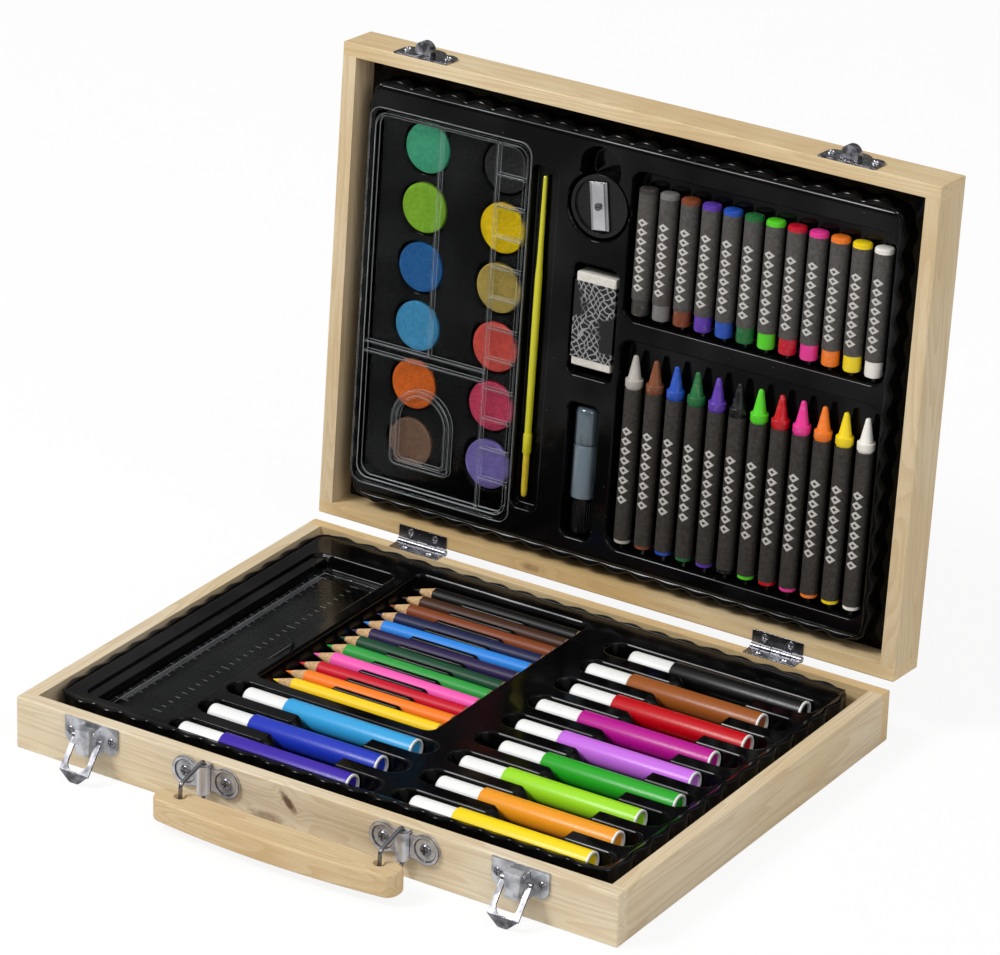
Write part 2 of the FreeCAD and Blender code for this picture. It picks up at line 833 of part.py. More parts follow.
def bail_solid(centre):
    """The stamped hasp: two arms round a long opening, an eye on each, and a bent lip."""
    half_open = bail_opening / 2
    half_out = half_open + bail_arm
    t = bail_sheet / 2
    origin = Vec(centre, front_face - bail_pivot_out, bail_pivot_height)
    outer = box(-half_out, half_out, -t, t, -bail_length, 0)
    slot = joined([box(-half_open, half_open, -bail_arm, bail_arm, -bail_length + half_open, bail_arm),
                   rod(Vec(0, -bail_arm, -bail_length + half_open), Y_AXIS, half_open, 2 * bail_arm)])
    lip_points = [Vec(-half_out, -t, 0), Vec(half_out, -t, 0), Vec(bail_lip_nose, -t, -bail_lip),
                  Vec(-bail_lip_nose, -t, -bail_lip)]
    lip = Part.Face(Part.makePolygon(lip_points + [lip_points[0]])).extrude(Y_AXIS * bail_sheet)
    nose = [edge for edge in lip.Edges
            if near(edge.CenterOfMass.z, -bail_lip) and near(edge.Length, bail_sheet)]
    lip = lip.makeFillet(bail_lip_nose * lip_round_share, nose)
    lip.rotate(Vec(0, 0, 0), X_AXIS, bail_angle)
    lip.translate(Vec(0, 0, -bail_length))
    bridge = rod(Vec(-half_out, 0, -bail_length), X_AXIS, t, 2 * half_out)
    frame = joined([outer.cut(slot), bridge, lip])
    eyes = [rod(Vec(side * half_open if side > 0 else -half_out, 0, 0), X_AXIS, bail_eye_radius, bail_arm)
            for side in (-1, 1)]
    solid = joined([frame] + eyes)
    solid = solid.cut(rod(Vec(-half_out - cut_overrun, 0, 0), X_AXIS, bail_pin_radius + running_clearance,
                          2 * (half_out + cut_overrun)))
    solid.rotate(Vec(0, 0, 0), X_AXIS, -bail_angle)
    solid.translate(origin)
    return solid


def keeper_solid(centre):
    """The upper plate with the round knob that the hasp drops over."""
    edge = lid_rim + latch_edge_drop
    plate = drilled_plate(lobed_plate(centre, edge, 1), latch_screw_points(edge, 1))
    low = lid_rim + knob_from_rim
    disc = rod(Vec(centre, front_face - knob_reach + knob_radius, low), Z_AXIS, knob_radius, knob_thickness)
    stem = box(centre - knob_radius, centre + knob_radius, front_face, front_face - knob_reach + knob_radius,
               low, low + knob_thickness)
    behind = box(centre - latch_plate_width, centre + latch_plate_width,
                 front_face, front_face + latch_plate_width, lid_rim, lid_rim + lid_height)
    return joined([plate, disc, stem]).cut(behind)


def latch_screw(point):
    """One of the alike screws of the latch plates and the keepers."""
    return screw(point, -Y_AXIS, latch_screw_head, latch_screw_head_height, latch_screw_shank,
                 latch_screw_length)


def build_latches():
    """Both draw latches, their keepers, pins and screws."""
    lever_pins = []
    keepers = []
    for name, centre in zip(("left", "right"), latch_centres):
        keep("latch_" + name + "_plate", latch_plate_solid(centre))
        keep("latch_" + name + "_lever", lever_solid(centre))
        keep("latch_" + name + "_hasp", bail_solid(centre))
        reach = lever_width / 2 + seat_clearance + ear_sheet
        lever_pins.append(rod(front_point(centre, -reach, lever_pivot_out, lever_pivot_height), X_AXIS,
                              lever_pin_radius, 2 * reach))
        span = bail_opening / 2 + bail_arm
        start = front_point(centre, -span, bail_pivot_out, bail_pivot_height)
        keep("latch_" + name + "_hasp_pin", rod(start, X_AXIS, bail_pin_radius, 2 * span))
        keepers.append(opened(keeper_solid(centre)))
    keep("latch_lever_pins", group(lever_pins))
    keep("keepers", group(keepers))
    low = latch_screw_points(base_height - latch_edge_drop, -1)
    high = latch_screw_points(lid_rim + latch_edge_drop, 1)
    keep("latch_screws", group([latch_screw(point) for point in low]))
    keep("keeper_screws", group([opened(latch_screw(point)) for point in high]))


# Carrying handle

def handle_plate_solid(centre):
    """A two-lobed plate with an upright barrel for the wire loop."""
    low = handle_plate_height - handle_lobe_radius
    high = handle_plate_height + handle_lobe_radius
    half = handle_lobe_pitch / 2
    pieces = [box(centre - half, centre + half, front_face, front_face - handle_plate_sheet,
                  handle_plate_height - handle_waist / 2, handle_plate_height + handle_waist / 2)]
    for side in (-1, 1):
        spot = front_point(centre, side * half, 0, handle_plate_height)
        pieces.append(rod(spot, -Y_AXIS, handle_lobe_radius, handle_plate_sheet))
    barrel = rod(front_point(centre, 0, handle_barrel_out, low), Z_AXIS, handle_barrel_radius, high - low)
    foot = box(centre - handle_barrel_radius, centre + handle_barrel_radius, front_face,
               front_face - handle_barrel_out, low, high)
    pieces += [barrel, foot]
    solid = joined(pieces)
    behind = box(centre - case_width, centre + case_width,
                 front_face, front_face + case_depth, 0, base_height)
    solid = solid.cut(behind)
    for side in (-1, 1):
        spot = front_point(centre, side * half, handle_plate_sheet - handle_dish_depth, handle_plate_height)
        solid = solid.cut(rod(spot, -Y_AXIS, handle_dish_radius, handle_dish_depth + cut_overrun))
        solid = solid.cut(rod(spot + Y_AXIS * cut_overrun, -Y_AXIS, latch_screw_shank + fixed_clearance,
                              2 * cut_overrun))
    bore = rod(front_point(centre, 0, handle_barrel_out, low - cut_overrun), Z_AXIS,
               wire_radius + running_clearance, high - low + 2 * cut_overrun)
    return solid.cut(bore)


def wire_solid(centre):
    """A bent wire loop. Both its ends stand in the plate's barrel, and its outer leg passes the grip."""
    low = handle_plate_height - handle_lobe_radius
    high = handle_plate_height + handle_lobe_radius
    route = [(handle_barrel_out, high - wire_tail), (handle_barrel_out, high + wire_top_rise),
             (wire_reach, wire_shoulder), (wire_reach, wire_sill), (wire_reach - wire_sill_run, wire_sill),
             (handle_barrel_out, low - wire_foot_drop), (handle_barrel_out, low + wire_tail)]
    points = [front_point(centre, 0, out, height) for out, height in route]
    bends = (wire_tight_bend, wire_bend, wire_sill_bend, wire_sill_bend, wire_tight_bend)
    return pipe(points, bends, wire_radius)


def grip_solid():
    """The wooden grip: a straight back, a bowed front and round ends."""
    middle_x = sum(handle_plate_centres) / 2
    left = min(handle_plate_centres) - grip_end_margin
    right = max(handle_plate_centres) + grip_end_margin
    back = front_face - grip_back
    end_front = front_face - grip_end_front
    a, b = Vec(left, back, grip_bottom), Vec(right, back, grip_bottom)
    c, d = Vec(right, end_front, grip_bottom), Vec(left, end_front, grip_bottom)
    bow = Vec(middle_x, front_face - grip_front, grip_bottom)
    outline = Part.Wire([Part.makeLine(a, b), Part.makeLine(b, c), arc(c, bow, d), Part.makeLine(d, a)])
    block = Part.Face(outline).extrude(Z_AXIS * grip_thickness)
    corners = [edge for edge in block.Edges
               if near(edge.BoundBox.XLength, 0) and near(edge.BoundBox.YLength, 0)]
    block = block.makeFillet(grip_end_round, corners)
    rims = [edge for edge in block.Edges if near(edge.BoundBox.ZLength, 0)]
    block = block.makeFillet(grip_edge_round, rims)
    for centre in handle_plate_centres:
        start = front_point(centre, 0, wire_reach, grip_bottom - cut_overrun)
        block = block.cut(rod(start, Z_AXIS, grip_hole_radius, grip_thickness + 2 * cut_overrun))
        mouth = front_point(centre, 0, wire_reach, grip_bottom + grip_thickness - grip_mouth_depth)
        block = block.cut(Part.makeCone(grip_hole_radius, grip_mouth_radius, grip_mouth_depth, mouth, Z_AXIS))
        sill = front_point(centre, 0, wire_reach, grip_bottom + grip_mouth_depth)
        block = block.cut(Part.makeCone(grip_hole_radius, grip_mouth_radius, grip_mouth_depth, sill, -Z_AXIS))
    return block


def build_handle():
    """Grip, wire loops, plates and screws."""
    keep("handle_plates", group([handle_plate_solid(cx) for cx in handle_plate_centres]))
    for name, centre in zip(("left", "right"), handle_plate_centres):
        keep("handle_" + name + "_loop", wire_solid(centre))
    keep("handle_grip", grip_solid())
    head_height = handle_dish_depth + latch_sheet
    keep("handle_screws", group([
        screw(point, -Y_AXIS, handle_screw_head, head_height, latch_screw_shank, handle_screw_length)
        for point in handle_screw_points()]))


# Trays

def slot_rows():
    """Every marker slot of the base as its left end and its row."""
    rows = [(right_slot_left, marker_first_row - i * marker_pitch) for i in range(len(right_start_shares))]
    first_left = len(right_start_shares) - len(left_start_shares)
    rows += [(left_slot_left, marker_first_row - left_row_shift - (first_left + i) * marker_pitch)
             for i in range(len(left_start_shares))]
    return rows


def slot_cavity(left, row, grow):
    """One marker's slot."""
    return pocket(left - grow, left + slot_length + grow, row - slot_half - grow, row + slot_half + grow,
                  slot_half + grow, base_z, base_tray_top, slot_floor + grow)


def channel_cavity(left, back_row, front_row, grow):
    """The open channel across a column of slots, with a slope on its left side."""
    x0 = left + divider_share * slot_length
    x1 = left + channel_end_share * slot_length + grow
    y0 = front_row - grow
    y1 = back_row + grow
    outline = [(x0 - grow, base_tray_top), (x0 + divider_slope - grow, slot_floor + grow),
               (x1, slot_floor + grow), (x1, base_tray_top)]
    points = [Vec(x, y0, base_z(depth)) for x, depth in outline]
    return Part.Face(Part.makePolygon(points + [points[0]])).extrude(Y_AXIS * (y1 - y0))


def base_cavities(grow):
    """All recesses of the base tray. A growth of one sheet gives the outside of their walls."""
    shapes = [slot_cavity(left, row, grow) for left, row in slot_rows()]
    right_rows = [row for left, row in slot_rows() if left == right_slot_left]
    left_rows = [row for left, row in slot_rows() if left == left_slot_left]
    shapes.append(channel_cavity(right_slot_left, right_rows[0], right_rows[-1], grow))
    shapes.append(channel_cavity(left_slot_left, left_rows[0], left_rows[-1], grow))
    back = pencil_first_row + pencil_pocket_margin
    front = pencil_first_row - (pencil_count - 1) * pencil_pitch - pencil_pocket_margin
    shapes.append(pocket(pencil_pocket_left - grow, pencil_pocket_right + grow, front - grow, back + grow,
                         pocket_corner + grow, base_z, base_tray_top, pencil_floor + grow))
    shapes.append(pocket(ruler_ledge_left - grow, ruler_well_right + grow, ruler_well_front - grow,
                         ruler_well_back + grow, pocket_corner + grow, base_z, base_tray_top,
                         ruler_ledge_depth + grow))
    shapes.append(pocket(ruler_well_left - grow, ruler_well_right + grow, ruler_well_front - grow,
                         ruler_well_back + grow, pocket_corner + grow, base_z, base_tray_top,
                         ruler_floor + grow))
    notch = rod(Vec(ruler_well_right - finger_notch_radius / 2, finger_notch_y, base_z(ruler_floor + grow)),
                Z_AXIS, finger_notch_radius + grow, ruler_floor + grow - base_tray_top)
    shapes.append(notch)
    return shapes


def pencil_ribs():
    """Low ribs that part the pencils."""
    ribs = []
    half = rib_width_share * (pencil_pitch / 2 - pencil_radius)
    for i in range(pencil_count):
        y = pencil_first_row - (i + 0.5) * pencil_pitch
        outline = [(rib_left - rib_slope / 2, pencil_floor), (rib_left, rib_top), (rib_right, rib_top),
                   (rib_right + rib_slope, pencil_floor)]
        points = [Vec(x, y - half, base_z(depth)) for x, depth in outline]
        ribs.append(Part.Face(Part.makePolygon(points + [points[0]])).extrude(Y_AXIS * (2 * half)))
    return ribs


def tray_shell(z_of, bounds, top, foot, grown, cavities, extra):
    """A formed sheet: a fluted skirt and a top, with walls round every recess."""
    x0, x1, y0, y1 = bounds
    inset = flute_depth + tray_sheet
    outline = fluted_outline(x0 + flute_depth, x1 - flute_depth, y0 + flute_depth, y1 - flute_depth)
    block = prism(outline, z_of, top, foot)
    hollow = pocket(x0 + inset, x1 - inset, y0 + inset, y1 - inset, tray_corner, z_of,
                    top + tray_sheet, foot + cut_overrun)
    shell = block.cut(hollow)
    shell = shell.multiFuse(grown + extra)
    opening = cavities[0].multiFuse(cavities[1:])
    return shell.cut(opening)


def build_base_tray():
    """The tray of the base: ruler well, pencil pocket and marker slots."""
    bounds = (base_tray_left, base_tray_right, base_tray_front, base_tray_back)
    shell = tray_shell(base_z, bounds, base_tray_top, base_floor,
                       base_cavities(tray_sheet), base_cavities(0), [])
    keep("base_tray", shell.multiFuse(pencil_ribs()).removeSplitter())


def round_pocket(x, y, radius, z_of, top, foot):
    """A round recess."""
    low = min(z_of(top), z_of(foot))
    return rod(Vec(x, y, low), Z_AXIS, radius, abs(foot - top))


def pan_places():
    """Centres of the paint pans."""
    return [(x, pan_first_row + i * pan_pitch) for x in pan_columns for i in range(pan_rows)]


def lid_cavities(grow):
    """All recesses of the lid tray. A growth of one sheet gives the outside of their walls."""
    top = lid_tray_top

    def flat(x0, x1, y0, y1, floor, radius=pocket_corner, start=top):
        return pocket(x0 - grow, x1 + grow, y0 - grow, y1 + grow, radius + grow, lid_z, start, floor + grow)

    rim = palette_sheet * 2 + seat_clearance
    shapes = [flat(palette_left + rim, palette_right - rim, palette_front + rim, palette_back - rim,
                   pan_floor, palette_corner)]
    cup_floor = pan_top + pan_thickness + seat_clearance
    for x, y in pan_places():
        shapes.append(round_pocket(x, y, pan_radius + drop_in_clearance + grow, lid_z, top, cup_floor + grow))
    shapes.append(flat(brush_channel_left, brush_channel_right, brush_channel_front, brush_channel_back,
                       brush_depth + brush_band_radius + seat_clearance))
    sharpener_floor = sharpener_top + sharpener_height + seat_clearance
    well_radius = sharpener_radius + drop_in_clearance + grow
    notch_radius = sharpener_notch_share * sharpener_radius + grow
    for y, radius in ((sharpener_y, well_radius), (sharpener_notch_y, notch_radius)):
        shapes.append(round_pocket(sharpener_x, y, radius, lid_z, top, sharpener_floor + grow))
    eraser_end = eraser_front + eraser_length
    shapes.append(flat(eraser_left - drop_in_clearance, eraser_left + eraser_width + drop_in_clearance,
                       eraser_front - eraser_pocket_margin, eraser_end + eraser_pocket_margin,
                       eraser_top + eraser_height + seat_clearance))
    glue_end = glue_front + glue_cap_length + glue_body_length + glue_knob_length
    glue_half = glue_radius + glue_room
    shapes.append(flat(glue_x - glue_half, glue_x + glue_half, glue_front - glue_room, glue_end + glue_room,
                       glue_depth + glue_radius + seat_clearance))
    shapes.append(flat(stick_pocket_left, stick_pocket_right, pastel_pocket_front, pastel_pocket_back,
                       pastel_depth + pastel_radius + seat_clearance, 2 * pocket_corner))
    shapes.append(flat(stick_pocket_left, stick_pocket_right, crayon_pocket_front, crayon_pocket_back,
                       crayon_depth + crayon_radius + seat_clearance, 2 * pocket_corner))
    return shapes


def build_lid_tray():
    """The tray of the lid, with a flange at its foot that fills the frame."""
    bounds = (lid_tray_left, lid_tray_right, lid_tray_front, lid_tray_back)
    flange_outer = pocket(-inner_x + seat_clearance, inner_x - seat_clearance, -inner_y + seat_clearance,
                          inner_y - seat_clearance, pocket_corner, lid_z, lid_flange_depth,
                          lid_flange_depth + tray_sheet)
    inset = flute_depth + tray_sheet
    x0, x1, y0, y1 = bounds
    flange_hole = pocket(x0 + inset, x1 - inset, y0 + inset, y1 - inset, tray_corner, lid_z,
                         lid_flange_depth - cut_overrun, lid_flange_depth + tray_sheet + cut_overrun)
    flange = flange_outer.cut(flange_hole)
    shell = tray_shell(lid_z, bounds, lid_tray_top, lid_flange_depth + tray_sheet, lid_cavities(tray_sheet),
                       lid_cavities(0), [flange])
    keep("lid_tray", opened(shell.removeSplitter()))


# Contents of the base

def marker_places():
    """Every marker as its left end and its row."""
    shares = right_start_shares + left_start_shares
    return [(left + share * marker_slack, row) for share, (left, row) in zip(shares, slot_rows())]


def build_markers():
    """Felt-tip markers: a narrow nose, a barrel and an end plug."""
    noses, barrels, plugs = [], [], []
    for start, row in marker_places():
        centre = base_z(marker_depth)
        nose = rod(Vec(start, row, centre), X_AXIS, marker_nose_radius, marker_nose_length)
        rim = [edge for edge in nose.Edges if near(edge.CenterOfMass.x, start)]
        noses.append(nose.makeFillet(marker_nose_round, rim))
        body = rod(Vec(start + marker_nose_length, row, centre), X_AXIS, marker_radius,
                   marker_length - marker_nose_length)
        depth = marker_plug_recess + marker_plug_thickness
        end = start + marker_length
        inside = Vec(end - depth, row, centre)
        socket = rod(inside, X_AXIS, marker_plug_radius + fixed_clearance, depth + cut_overrun)
        barrels.append(body.cut(socket))
        plugs.append(rod(inside, X_AXIS, marker_plug_radius, marker_plug_thickness))
    keep("marker_noses", group(noses))
    keep("marker_barrels", group(barrels))
    keep("marker_plugs", group(plugs))


def build_pencils():
    """Sharpened pencils: a round wooden barrel on a lead."""
    barrels, leads = [], []
    slope = pencil_radius / pencil_nose_length
    for i in range(pencil_count):
        row = pencil_first_row - i * pencil_pitch
        tip = Vec(pencil_tip, row, base_z(pencil_depth))
        exposed = pencil_lead_radius / slope
        wood_start = tip + X_AXIS * exposed
        shoulder = tip + X_AXIS * pencil_nose_length
        cone = Part.makeCone(pencil_lead_radius, pencil_radius, pencil_nose_length - exposed, wood_start,
                             X_AXIS)
        body = rod(shoulder, X_AXIS, pencil_radius, pencil_length - pencil_nose_length)
        bore = rod(tip, X_AXIS, pencil_lead_radius + fixed_clearance, pencil_length + cut_overrun)
        barrel = joined([cone, body]).cut(bore)
        point = Part.makeCone(0, pencil_lead_radius, exposed, tip, X_AXIS)
        core = rod(wood_start, X_AXIS, pencil_lead_radius, pencil_length - exposed)
        lead = joined([point, core])
        middle = tip + X_AXIS * (pencil_length / 2)
        for shape in (barrel, lead):
            shape.rotate(middle, Z_AXIS, pencil_turns_deg[i])
        barrels.append(barrel)
        leads.append(lead)
    keep("pencil_barrels", group(barrels))
    keep("pencil_leads", group(leads))


def build_ruler():
    """A flat ruler with one bevelled edge."""
    right = ruler_left + ruler_width
    outline = [(ruler_left, ruler_thickness), (right, ruler_thickness), (right, ruler_bevel),
               (right - ruler_bevel_width, 0), (ruler_left, 0)]
    points = [Vec(x, ruler_front, base_z(ruler_depth + down)) for x, down in outline]
    keep("ruler", Part.Face(Part.makePolygon(points + [points[0]])).extrude(Y_AXIS * ruler_length))


# Contents of the lid

def tube(start, outer, inner, length):
    """A paper sleeve along Y."""
    bore = rod(start - Y_AXIS * cut_overrun, Y_AXIS, inner, length + 2 * cut_overrun)
    return rod(start, Y_AXIS, outer, length).cut(bore)


def build_crayons():
    """Wax crayons with paper sleeves."""
    sticks, sleeves = [], []
    core_radius = crayon_radius - crayon_paper
    for i in range(stick_count):
        tip = Vec(stick_first + i * stick_pitch, crayon_start, lid_z(crayon_depth))
        cone_radius = crayon_radius - crayon_shoulder
        cone = Part.makeCone(crayon_tip_radius, cone_radius, crayon_nose_length, tip, Y_AXIS)
        collar = rod(tip + Y_AXIS * crayon_nose_length, Y_AXIS, crayon_radius, crayon_collar)
        core = rod(tip + Y_AXIS * crayon_nose_length, Y_AXIS, core_radius, crayon_length - crayon_nose_length)
        sticks.append(opened(joined([cone, collar, core])))
        start = tip + Y_AXIS * (crayon_nose_length + crayon_collar)
        length = crayon_length - crayon_nose_length - crayon_collar - crayon_tail
        sleeves.append(opened(tube(start, crayon_radius, core_radius + fixed_clearance, length)))
    keep("crayon_sticks", group(sticks))
    keep("crayon_sleeves", group(sleeves))


def build_pastels():
    """Oil pastels with paper sleeves."""
    sticks, sleeves = [], []
    core_radius = pastel_radius - pastel_paper
    for i in range(stick_count):
        end = Vec(stick_first + i * stick_pitch, pastel_start, lid_z(pastel_depth))
        sticks.append(opened(rod(end, Y_AXIS, core_radius, pastel_length)))
        start = end + Y_AXIS * pastel_bare_top
        length = pastel_length - pastel_bare_end - pastel_bare_top
        sleeves.append(opened(tube(start, pastel_radius, core_radius + fixed_clearance, length)))
    keep("pastel_sticks", group(sticks))
    keep("pastel_sleeves", group(sleeves))


def build_pans():
    """Round cakes of watercolour in their cups."""
    pans = [round_pocket(x, y, pan_radius, lid_z, pan_top, pan_top + pan_thickness) for x, y in pan_places()]
    keep("paint_pans", group([opened(pan) for pan in pans]))


def build_palette():
    """The clear palette that covers the pans: a rim, a floor, dividers, cells and a thumb well."""
    t = palette_sheet
    floor = palette_floor
    rim = pocket(palette_left, palette_right, palette_front, palette_back, palette_corner, lid_z,
                 palette_rim, lid_tray_top)
    inset = 2 * t
    body = pocket(palette_left + inset + seat_clearance + t, palette_right - inset - seat_clearance - t,
                  palette_front + inset + seat_clearance + t, palette_back - inset - seat_clearance - t,
                  palette_corner, lid_z, palette_rim, floor + t)
    inner_left = palette_left + inset + seat_clearance + 2 * t
    inner_right = palette_right - inset - seat_clearance - 2 * t
    inner_front = palette_front + inset + seat_clearance + 2 * t
    inner_back = palette_back - inset - seat_clearance - 2 * t
    hollow = pocket(inner_left, inner_right, inner_front, inner_back, palette_corner, lid_z,
                    palette_rim - cut_overrun, floor)
    shell = joined([rim, body]).cut(hollow)
    ribs = []

    def bar(x0, x1, y0, y1, top):
        ribs.append(box(x0, x1, y0, y1, lid_z(top), lid_z(floor)))

    half = palette_rib / 2
    rib_level = palette_rim + palette_rib_drop
    bar(palette_divider_x - half, palette_divider_x + half, inner_front, inner_back, rib_level)
    bar(palette_line_x - half, palette_line_x + half, inner_front, palette_band_front, rib_level)
    for y in (palette_band_front, palette_band_back):
        bar(inner_left, palette_divider_x, y - half, y + half, rib_level)
    pitch = (inner_back - inner_front) / palette_cells
    for i in range(1, palette_cells):
        y = inner_front + i * pitch
        bar(palette_divider_x, inner_right, y - half, y + half, rib_level)
    arch_radius = (thumb_right - thumb_left) / 2
    arch_x = (thumb_left + thumb_right) / 2

    def thumb(grow):
        disc = round_pocket(arch_x, thumb_front + arch_radius, arch_radius + grow, lid_z, rib_level, floor)
        block = pocket(thumb_left - grow, thumb_right + grow, thumb_front + arch_radius, thumb_back + grow,
                       pocket_corner, lid_z, rib_level, floor)
        return joined([disc, block])

    ribs.append(thumb(0).cut(thumb(-palette_rib)))
    ribs.append(thumb(-thumb_wall).cut(thumb(-thumb_wall - palette_rib)))
    keep("palette", opened(joined([shell] + ribs)))


def build_brush():
    """A slim paint brush: a tapered handle with a band, and a cap over its hairs."""
    start = Vec(brush_x, brush_front, lid_z(brush_depth))
    taper = brush_taper_share * brush_length
    band = brush_band_share * brush_length
    handle = joined([
        Part.makeCone(brush_tip_radius, brush_neck_radius, taper, start, Y_AXIS),
        rod(start + Y_AXIS * taper, Y_AXIS, brush_grip_radius, band - taper),
        rod(start + Y_AXIS * band, Y_AXIS, brush_band_radius, brush_band_length)])
    after = band + brush_band_length
    cap = rod(start + Y_AXIS * after, Y_AXIS, brush_cap_radius, brush_length - after)
    end_y = start.y + brush_length
    rim = [edge for edge in cap.Edges if near(edge.CenterOfMass.y, end_y)]
    keep("brush_handle", opened(handle))
    keep("brush_cap", opened(cap.makeFillet(brush_cap_radius * brush_cap_round_share, rim)))


def turned_block(width_share, length_share, top, foot):
    """A block on the sharpener's face, turned as the metal is. Its shares are of the sharpener's radius."""
    half_width = width_share * sharpener_radius / 2
    half_length = length_share * sharpener_radius / 2
    shape = box(sharpener_x - half_width, sharpener_x + half_width, sharpener_y - half_length,
                sharpener_y + half_length, lid_z(top), lid_z(foot))
    shape.rotate(Vec(sharpener_x, sharpener_y, 0), Z_AXIS, sharpener_block_turn)
    return shape


def build_sharpener():
    """A round sharpener: a body, a metal wedge block, a blade and its screw."""
    body = round_pocket(sharpener_x, sharpener_y, sharpener_radius, lid_z, sharpener_top,
                        sharpener_top + sharpener_height)
    dish = round_pocket(sharpener_x, sharpener_y, sharpener_recess_share * sharpener_radius, lid_z,
                        sharpener_top - cut_overrun, sharpener_top + sharpener_recess_depth)
    block_foot = sharpener_top + sharpener_block_height
    seat = turned_block(sharpener_block_width_share, sharpener_block_length_share, sharpener_top, block_foot)
    keep("sharpener_body", opened(body.cut(dish).cut(seat)))
    keep("sharpener_block", opened(seat))
    blade_top = sharpener_top - sharpener_blade_thickness
    blade = turned_block(sharpener_blade_width_share, sharpener_blade_length_share, blade_top, sharpener_top)
    keep("sharpener_blade", opened(blade))
    screw_top = blade_top - sharpener_screw_height
    head = round_pocket(sharpener_x, sharpener_y, sharpener_screw_radius, lid_z, screw_top, blade_top)
    half = sharpener_slot_half_share * sharpener_screw_radius
    slot_foot = screw_top + sharpener_slot_depth_share * sharpener_screw_height
    slot = box(sharpener_x - sharpener_screw_radius, sharpener_x + sharpener_screw_radius,
               sharpener_y - half, sharpener_y + half, lid_z(screw_top - cut_overrun), lid_z(slot_foot))
    keep("sharpener_screw", opened(head.cut(slot)))


def build_eraser():
    """A rubber block in a card sleeve."""
    right = eraser_left + eraser_width
    back = eraser_front + eraser_length
    t = eraser_sleeve
    block = box(eraser_left + t, right - t, eraser_front, back, lid_z(eraser_top + t),
                lid_z(eraser_top + eraser_height - t))
    sleeve = box(eraser_left, right, eraser_front + eraser_bare_end, back - eraser_bare_end,
                 lid_z(eraser_top), lid_z(eraser_top + eraser_height))
    keep("eraser_block", opened(block))
    keep("eraser_sleeve", opened(sleeve.cut(block)))


def build_glue():
    """A glue stick: a clear round-ended cap, a barrel and a turning knob."""
    start = Vec(glue_x, glue_front, lid_z(glue_depth))
    cap = rod(start, Y_AXIS, glue_radius, glue_cap_length)
    rim = [edge for edge in cap.Edges if near(edge.CenterOfMass.y, glue_front)]
    keep("glue_cap", opened(cap.makeFillet(glue_radius * glue_cap_round_share, rim)))
    body_start = start + Y_AXIS * glue_cap_length
    keep("glue_barrel", opened(rod(body_start, Y_AXIS, glue_radius, glue_body_length)))
    keep("glue_knob", opened(rod(body_start + Y_AXIS * glue_body_length, Y_AXIS, glue_knob_radius,
                                 glue_knob_length)))


build_case()
build_hinges()
build_latches()
build_handle()
build_base_tray()
build_lid_tray()
build_markers()
build_pencils()
build_ruler()
build_crayons()
build_pastels()
build_pans()
build_palette()
build_brush()
build_sharpener()
build_eraser()
build_glue()
print(len(parts), "nodes")
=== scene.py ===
"""Looks of a hinged wooden art case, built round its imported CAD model."""

import logging
import math
from dataclasses import dataclass
from enum import Enum
from typing import Mapping, Sequence

import bmesh
import bpy
import numpy as np
from bpy.types import Material, Mesh, Node, NodeSocket, NodeTree, Object
from mathutils import Matrix, Vector


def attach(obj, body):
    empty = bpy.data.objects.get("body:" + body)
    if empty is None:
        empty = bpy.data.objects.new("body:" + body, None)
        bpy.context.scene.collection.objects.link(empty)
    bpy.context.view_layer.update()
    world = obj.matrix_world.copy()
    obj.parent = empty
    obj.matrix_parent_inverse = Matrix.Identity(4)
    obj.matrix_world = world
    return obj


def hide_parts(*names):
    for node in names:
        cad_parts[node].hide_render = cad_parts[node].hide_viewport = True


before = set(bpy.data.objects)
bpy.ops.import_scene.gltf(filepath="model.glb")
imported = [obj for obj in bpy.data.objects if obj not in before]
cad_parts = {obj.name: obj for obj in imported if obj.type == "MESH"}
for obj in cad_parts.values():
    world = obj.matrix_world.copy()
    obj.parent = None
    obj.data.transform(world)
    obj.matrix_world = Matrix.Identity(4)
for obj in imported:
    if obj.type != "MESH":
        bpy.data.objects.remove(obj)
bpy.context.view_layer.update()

log = logging.getLogger("art_case")
MM = 0.001
Colour = tuple[float, float, float, float]
Triple = tuple[float, float, float]
Profile = Sequence[tuple[float, float]]
WHITE = (1.0, 1.0, 1.0, 1.0)

# Sizes of the case that the looks are laid out on, in millimetres
BASE_RIM = 24.2
LID_RIM = 25.3
FRONT = -112.25
HINGE_Y = 114.05
HINGE_Z = 24.75
INNER_X = 142.8
INNER_Y = 106.05
OPEN_ANGLE = math.radians(93.55)
LID_TURN = Matrix.Rotation(-OPEN_ANGLE, 3, "X")
RIGHT_ROWS = [79.0 - 21.0 * i for i in range(9)]
LEFT_ROWS = [78.0 - 21.0 * i for i in (6, 7, 8)]
FIRST_PENCIL = 84.5
PENCIL_PITCH = 10.1
PAN_COLUMNS = (-107.4, -66.1)
PAN_ROWS = [-70.1 + 27.9 * i for i in range(6)]

# How the meshes are treated
CREASE_DEG = 32.0
ROLLED_FROM_DEG = 38.0
SHEET_LIFT = 0.03
CLOSEST_ROWS = 0.26
EDGE_INSETS = (1.3, 0.8, 0.4, 0.0, -0.35, -0.7, -1.1, -1.7)


def tint(code: str) -> Colour:
    """A linear colour from a six-digit hex code, as it looks on a screen."""
    levels = [int(code[i:i + 2], 16) / 255 for i in (0, 2, 4)]
    red, green, blue = (v / 12.92 if v <= 0.04045 else ((v + 0.055) / 1.055) ** 2.4 for v in levels)
    return (red, green, blue, 1.0)


def spin(degrees: float, axis: str) -> Matrix:
    """A turn about one axis."""
    return Matrix.Rotation(math.radians(degrees), 3, axis)


def eulers(turn: Matrix) -> Vector:
    """A turn as Euler angles."""
    return Vector(turn.to_euler())


